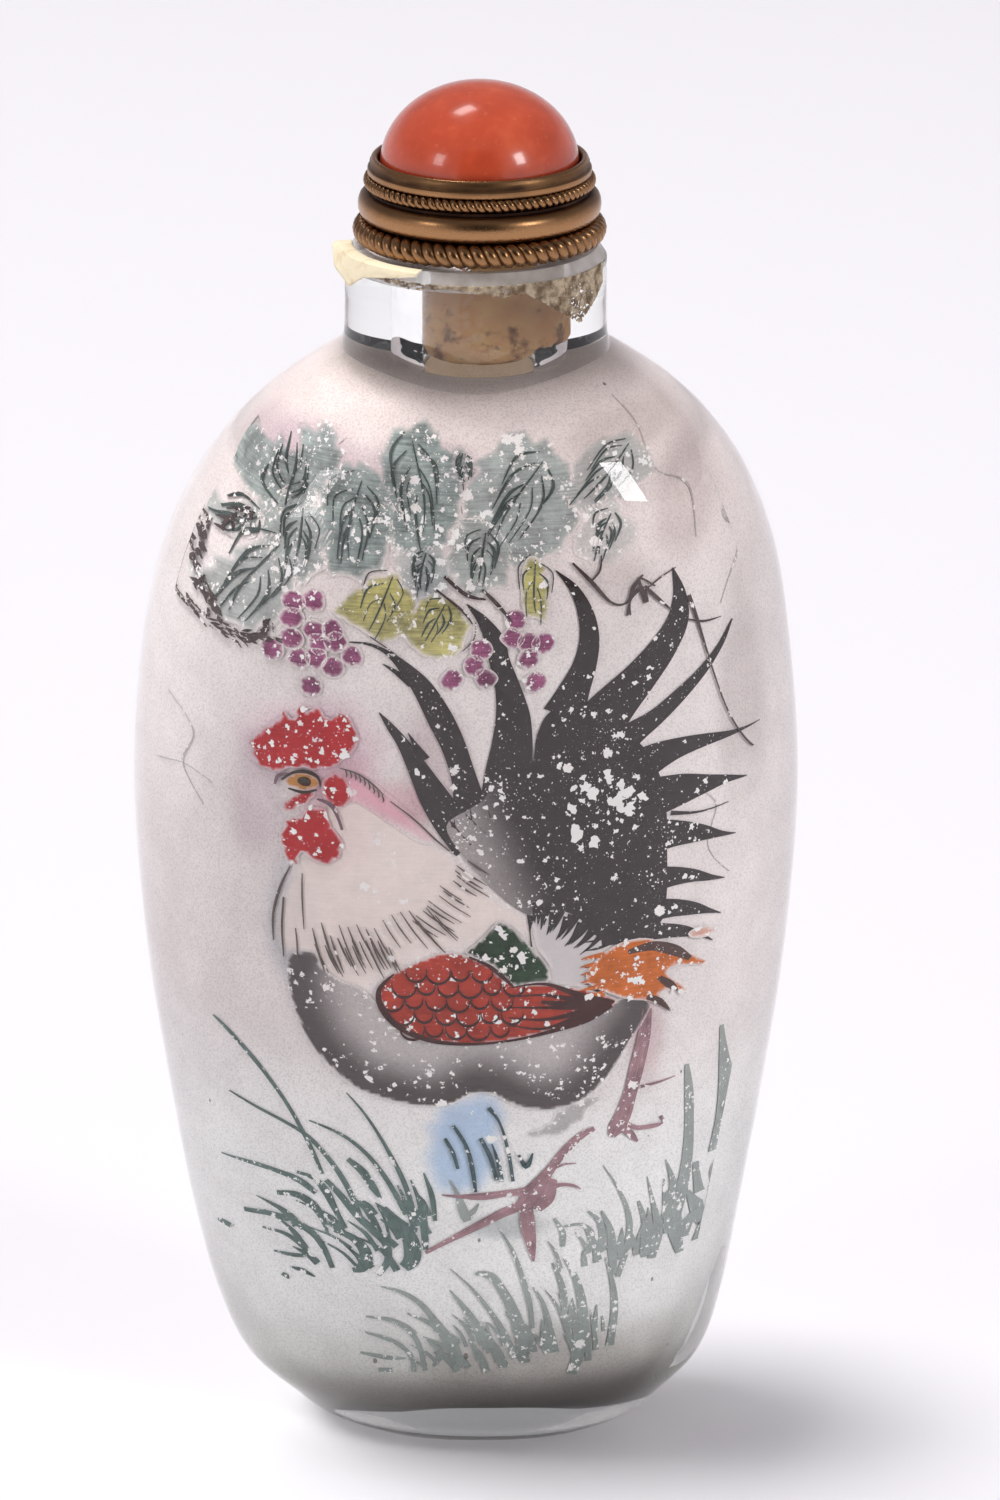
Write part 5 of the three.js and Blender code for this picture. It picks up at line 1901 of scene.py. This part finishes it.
def add_tufts(blades):
    """Short blades grown between the tall ones, from fixed random seeds."""
    rng = random.Random(40)
    for (x, z), (across, up), count, tall, lean in TUFTS:
        for _ in range(count):
            foot_x, foot_z = x + rng.uniform(-across, across), z + rng.uniform(-up, up)
            height, tilt = tall * rng.uniform(0.4, 1.0), lean + rng.uniform(-0.3, 0.3)
            thick = rng.uniform(0.18, 0.5)
            tip_x, tip_z = math.sin(tilt) * height, math.cos(tilt) * height
            blades.stroke([
                (foot_x + tip_x, foot_z + tip_z, 0.05),
                (foot_x + tip_x * 0.42, foot_z + tip_z * 0.6, thick * 0.8),
                (foot_x, foot_z, thick)], 4, wash=grass_wash(foot_x, foot_z + 2))


# ---- stopper ---------------------------------------------------------------------------------

# Collar profile: radius, height and how bright its crest is worn.
COLLAR_PROFILE = [
    (0, 80.6, 0), (3.7, 80.6, 0), (3.7, 77.75, 0), (6.2, 77.75, 0.1), (6.2, 79.05, 0), (7.0, 79.17, 0.1),
    (7.14, 79.24, 0.5), (7.3, 79.32, 0.7), (7.44, 79.5, 0.85), (7.53, 79.75, 0.95), (7.56, 80.02, 1),
    (7.53, 80.3, 0.9),
    (7.44, 80.55, 0.7), (7.28, 80.72, 0.55), (7.1, 80.8, 0.3), (6.86, 80.85, 0.0), (6.85, 81.02, 0.0),
    (6.3, 81.1, 0),
    (6.25, 81.2, 0), (6.25, 81.85, 0), (6.88, 81.93, 0.2), (6.95, 82.0, 0.7), (6.97, 82.15, 0.9),
    (6.95, 82.33, 0.8),
    (6.86, 82.42, 0.3), (6.82, 82.5, 0.2), (6.82, 82.72, 0.35), (6.78, 82.8, 0.6), (6.72, 82.95, 0.95),
    (6.64, 83.03, 1),
    (6.5, 83.05, 1), (6.4, 83.0, 0.6), (6.32, 82.9, 0.2), (6.3, 82.3, 0), (0, 82.3, 0),
]
CABOCHON_RADIUS = 6.2
CABOCHON_BASE = 82.42
CABOCHON_RISE = 5.2495
CORK_BOTTOM = 70.6
CORK_TOP = 80.4
CORK_PITS_TOP = 77.6


class BOTTLE_OT_collar(bpy.types.Operator):
    """Build the brass collar and its two twisted wires"""
    bl_idname = "snuff_bottle.collar"
    bl_label = "Brass collar"

    def execute(self, context):
        brass = brass_material("collar_brass", context.scene.bottle_stopper.brass)
        around = 144
        collar = turned("brass_collar", [(r, z) for r, z, _ in COLLAR_PROFILE], around)
        crest = [value for _, _, value in COLLAR_PROFILE[1:-1] for _ in range(around)] + [0, 0]
        point_values(collar, "crest", crest)
        sharpen(collar, 38)
        dress(collar, brass, ["stopper_collar"])
        twisted_wire("lower_twisted_wire", "lower_rope_wire", 7.12, 0.37, 30, 78.42)
        twisted_wire("upper_twisted_wire", "upper_rope_wire", 6.78, 0.21, 44, 81.5)
        return {"FINISHED"}


class BOTTLE_OT_bead(bpy.types.Operator):
    """Build the coral-red bead"""
    bl_idname = "snuff_bottle.bead"
    bl_label = "Coral bead"

    def execute(self, context):
        dome = [(CABOCHON_RADIUS * math.cos(t), CABOCHON_BASE + CABOCHON_RISE * math.sin(t))
                for t in spread(0, math.pi / 2, 40)]
        dome[-1] = (0, CABOCHON_BASE + CABOCHON_RISE)
        profile = [(0, CABOCHON_BASE), (3.0, CABOCHON_BASE), (CABOCHON_RADIUS - 0.15, CABOCHON_BASE), *dome]
        bead = turned("coral_bead", profile, 128)
        sharpen(bead, 50)
        dress(bead, coral_material(context.scene.bottle_stopper.coral), ["cabochon"])
        return {"FINISHED"}


class BOTTLE_OT_cork(bpy.types.Operator):
    """Build the cork, the torn paper and the crumbs on the neck"""
    bl_idname = "snuff_bottle.cork"
    bl_label = "Cork and paper"

    def execute(self, context):
        settings = context.scene.bottle_stopper
        add_cork(cork_material(settings.cork))
        add_paper(paper_material(settings.paper))
        add_residue(residue_material())
        add_ground_lip()
        return {"FINISHED"}


def add_cork(material):
    """A slightly uneven cork that stays inside the bore."""
    profile = [(0, CORK_BOTTOM), (1.6, CORK_BOTTOM), (2.85, CORK_BOTTOM), (3.12, CORK_BOTTOM + 0.2)]
    for share in spread(0, 1, 34):
        radius = lerp(3.3, BORE_RADIUS + 0.03, min(1.0, 8 * share))
        profile.append((radius, lerp(CORK_BOTTOM + 0.4, 77.7, share)))
    profile += [(3.38, 77.9), (3.38, CORK_TOP), (0, CORK_TOP)]
    cork = turned("cork_plug", profile, 96)
    for vertex in cork.data.vertices:
        place = vertex.co / MM
        if place.z > CORK_PITS_TOP:
            continue
        middle = Vector((STOPPER_OFFSET, 0, place.z))
        broad = max(0.0, noise.noise(place * 1.3) - 0.25)
        fine = max(0.0, noise.noise(place * 3.1) - 0.3)
        vertex.co = (middle + (place - middle) * (1 - (0.1 * broad + 0.09 * fine))) * MM
    dress(cork, material, ["cork"])


# How far the scrap hangs below the lip, from its right end round to its pointed left tip.
PAPER_HANG = [(0, 0.1), (0.25, 0.5), (0.42, 0.8), (0.58, 1.75), (0.68, 1.3), (0.86, 1.0), (1, 0.02)]


def hang_at(share):
    """The scrap's angular lower edge."""
    for (start, low), (end, high) in zip(PAPER_HANG, PAPER_HANG[1:]):
        if share <= end:
            return lerp(low, high, (share - start) / (end - start))
    return PAPER_HANG[-1][1]


# The scrap's two ends round the neck, where it folds down, as a share of its width, and its thickness.
PAPER_START = math.pi * 1.36
PAPER_END = math.pi * 0.99
PAPER_FOLD = 0.45
PAPER_THICKNESS = 0.07


def add_paper(material):
    """A torn scrap, held under the collar and bent down outside the lip."""
    along, across = 56, 18
    points, faces = [], []
    for share in spread(0, 1, along):
        angle = lerp(PAPER_START, PAPER_END, share)
        hang = hang_at(share) + 0.05 * noise.noise(Vector((share * 30, 4, 0)))
        for down in spread(0, 1, across):
            r, z = paper_section(down, 8.5 + 0.4 * share, hang)
            r += 0.05 * noise.noise(Vector((share * 7, down * 3, 2)))
            points.append((NECK_OFFSET + r * math.cos(angle), r * math.sin(angle), z))
    for i in range(along - 1):
        for a in range(i * across, (i + 1) * across - 1):
            faces.append((a, a + across, a + across + 1, a + 1))
    paper = mesh_object("torn_paper", points, faces)
    sharpen(paper, 25)
    thicken(paper, "Sheet", PAPER_THICKNESS, 0)
    dress(paper, material, ["paper_scrap"])


def paper_section(down, outer, hang):
    """Radius and height of the scrap at a share of its way from the collar to its torn edge."""
    if down < PAPER_FOLD:
        t = down / PAPER_FOLD
        return lerp(7.7, 8.45, t), MOUTH_HEIGHT + lerp(0.08, 0.02, t)
    t = (down - PAPER_FOLD) / (1 - PAPER_FOLD)
    return lerp(8.45, outer, t ** 0.8), MOUTH_HEIGHT + 0.02 - (0.1 + hang) * t


# Crumbs round the neck: first and last angle, how many, and how deep they hang.
CRUMB_PATCHES = [(-72, -16, 4200, 3.1), (-104, -64, 700, 0.7), (-150, -100, 260, 0.4)]
# Rings of one crumb, from the glass outwards: how far out and how wide.
CRUMB_LAYERS = [(-0.02, 1.0), (0.02, 0.9), (0.045, 0.4)]


def add_residue(material):
    """Crumbs on the outside of the neck, under the lower wire."""
    rng = random.Random(77)
    points, faces = [], []
    for low, high, count, deep in CRUMB_PATCHES:
        middle = (low + high) / 2
        for _ in range(count):
            turn = math.radians(rng.uniform(low, high))
            edge = 1 - abs(math.degrees(turn) - middle - 6) / (high - middle + 8)
            add_crumb(points, faces, turn, 76.6 - deep * edge * rng.random() ** 1.4 + 0.15, rng)
    crumbs = mesh_object("glue_crumbs", points, faces, smooth=False)
    dress(crumbs, material)


def add_crumb(points, faces, turn, z, rng):
    """One small many-sided crumb that sits on the neck."""
    size = rng.uniform(0.03, 0.1)
    start, sides = len(points), 5
    for layer, (out, wide) in enumerate(CRUMB_LAYERS):
        r = NECK_RADIUS + out
        for angle in even_angles(sides):
            across = size * wide * rng.uniform(0.7, 1.2)
            local = turn + across * math.cos(angle + layer) / r
            height = z + across * math.sin(angle + layer)
            points.append((NECK_OFFSET + r * math.cos(local), r * math.sin(local), height))
    faces.extend(tuple(start + i for i in face) for face in ring_faces(len(CRUMB_LAYERS), sides))
    top = start + (len(CRUMB_LAYERS) - 1) * sides
    faces.extend([tuple(range(top, top + sides)), tuple(reversed(range(start, start + sides)))])


def add_ground_lip():
    """The matt, roughly ground ring on the lip of the neck."""
    foot, top = MOUTH_HEIGHT - LIP_BEVEL_HEIGHT - 0.3, MOUTH_HEIGHT + 0.012
    section = [(NECK_RADIUS + 0.012, foot), (NECK_RADIUS + 0.012, foot + 0.3),
               (NECK_RADIUS - LIP_BEVEL_WIDTH + 0.012, top), (NECK_RADIUS - 1.2, top),
               (NECK_RADIUS - 1.2, top - 0.03), (NECK_RADIUS - LIP_BEVEL_WIDTH - 0.03, top - 0.03),
               (NECK_RADIUS - 0.03, foot + 0.27), (NECK_RADIUS - 0.03, foot)]
    angles = even_angles(120)
    points = [point for r, z in section for point in round_ring(NECK_OFFSET, r, z, angles)]
    rows = ring_faces(len(section) + 1, len(angles))
    lip = mesh_object("ground_lip", points, [tuple(i % len(points) for i in face) for face in rows])
    repair_normals(lip)
    sharpen(lip, 30)
    material, shader, surface, cloud, _ = varied_material("ground_glass", 900.0, 4000.0)
    grey = shader.mix(cloud, tone(150, 144, 138), tone(232, 228, 226))
    set_surface(shader, surface, Base_Color=grey, Roughness=0.7, Alpha=0.45)
    dress(lip, material)


class BOTTLE_PT_panel(bpy.types.Panel):
    """Sizes, colours and pieces of the snuff bottle"""
    bl_label = "Snuff Bottle"
    bl_idname = "BOTTLE_PT_panel"
    bl_space_type = "VIEW_3D"
    bl_region_type = "UI"
    bl_category = "Snuff Bottle"

    def draw(self, context):
        layout = self.layout
        for operator in OPERATORS:
            layout.operator(operator.bl_idname)
        for name in SETTINGS:
            settings = getattr(context.scene, name)
            box = layout.box()
            box.label(text=name.replace("_", " "))
            for label in settings.__annotations__:
                box.prop(settings, label)


SETTINGS = {
    "bottle_glass": GlassSettings,
    "bottle_paint": PaintSettings,
    "bottle_stopper": StopperSettings,
    "bottle_stage": StageSettings,
}
OPERATORS = (
    BOTTLE_OT_stage,
    BOTTLE_OT_glass,
    BOTTLE_OT_lining,
    BOTTLE_OT_vine,
    BOTTLE_OT_neck,
    BOTTLE_OT_tail,
    BOTTLE_OT_body,
    BOTTLE_OT_head,
    BOTTLE_OT_grass,
    BOTTLE_OT_collar,
    BOTTLE_OT_bead,
    BOTTLE_OT_cork,
)


def register():
    for name, kind in SETTINGS.items():
        bpy.utils.register_class(kind)
        setattr(bpy.types.Scene, name, bpy.props.PointerProperty(type=kind))
    for kind in (*OPERATORS, BOTTLE_PT_panel):
        bpy.utils.register_class(kind)


def unregister():
    for kind in (BOTTLE_PT_panel, *reversed(OPERATORS)):
        bpy.utils.unregister_class(kind)
    for name, kind in reversed(SETTINGS.items()):
        delattr(bpy.types.Scene, name)
        bpy.utils.unregister_class(kind)


def build_shared_nodes(scene):
    """Shader groups, node trees and finishes that several pieces use."""
    build_ground_group(scene.bottle_paint)
    build_brush_group()
    build_wear_group()
    build_loss_tree()
    build_rope_tree()
    glass_material(scene.bottle_glass)
    lining_material()
    loss_material()
    brass_material("wire_brass", times(scene.bottle_stopper.brass, 0.85))


def main():
    register()
    build_shared_nodes(bpy.context.scene)
    for operator in OPERATORS:
        group, action = operator.bl_idname.split(".")
        getattr(getattr(bpy.ops, group), action)()


if __name__ == "__main__":
    main()
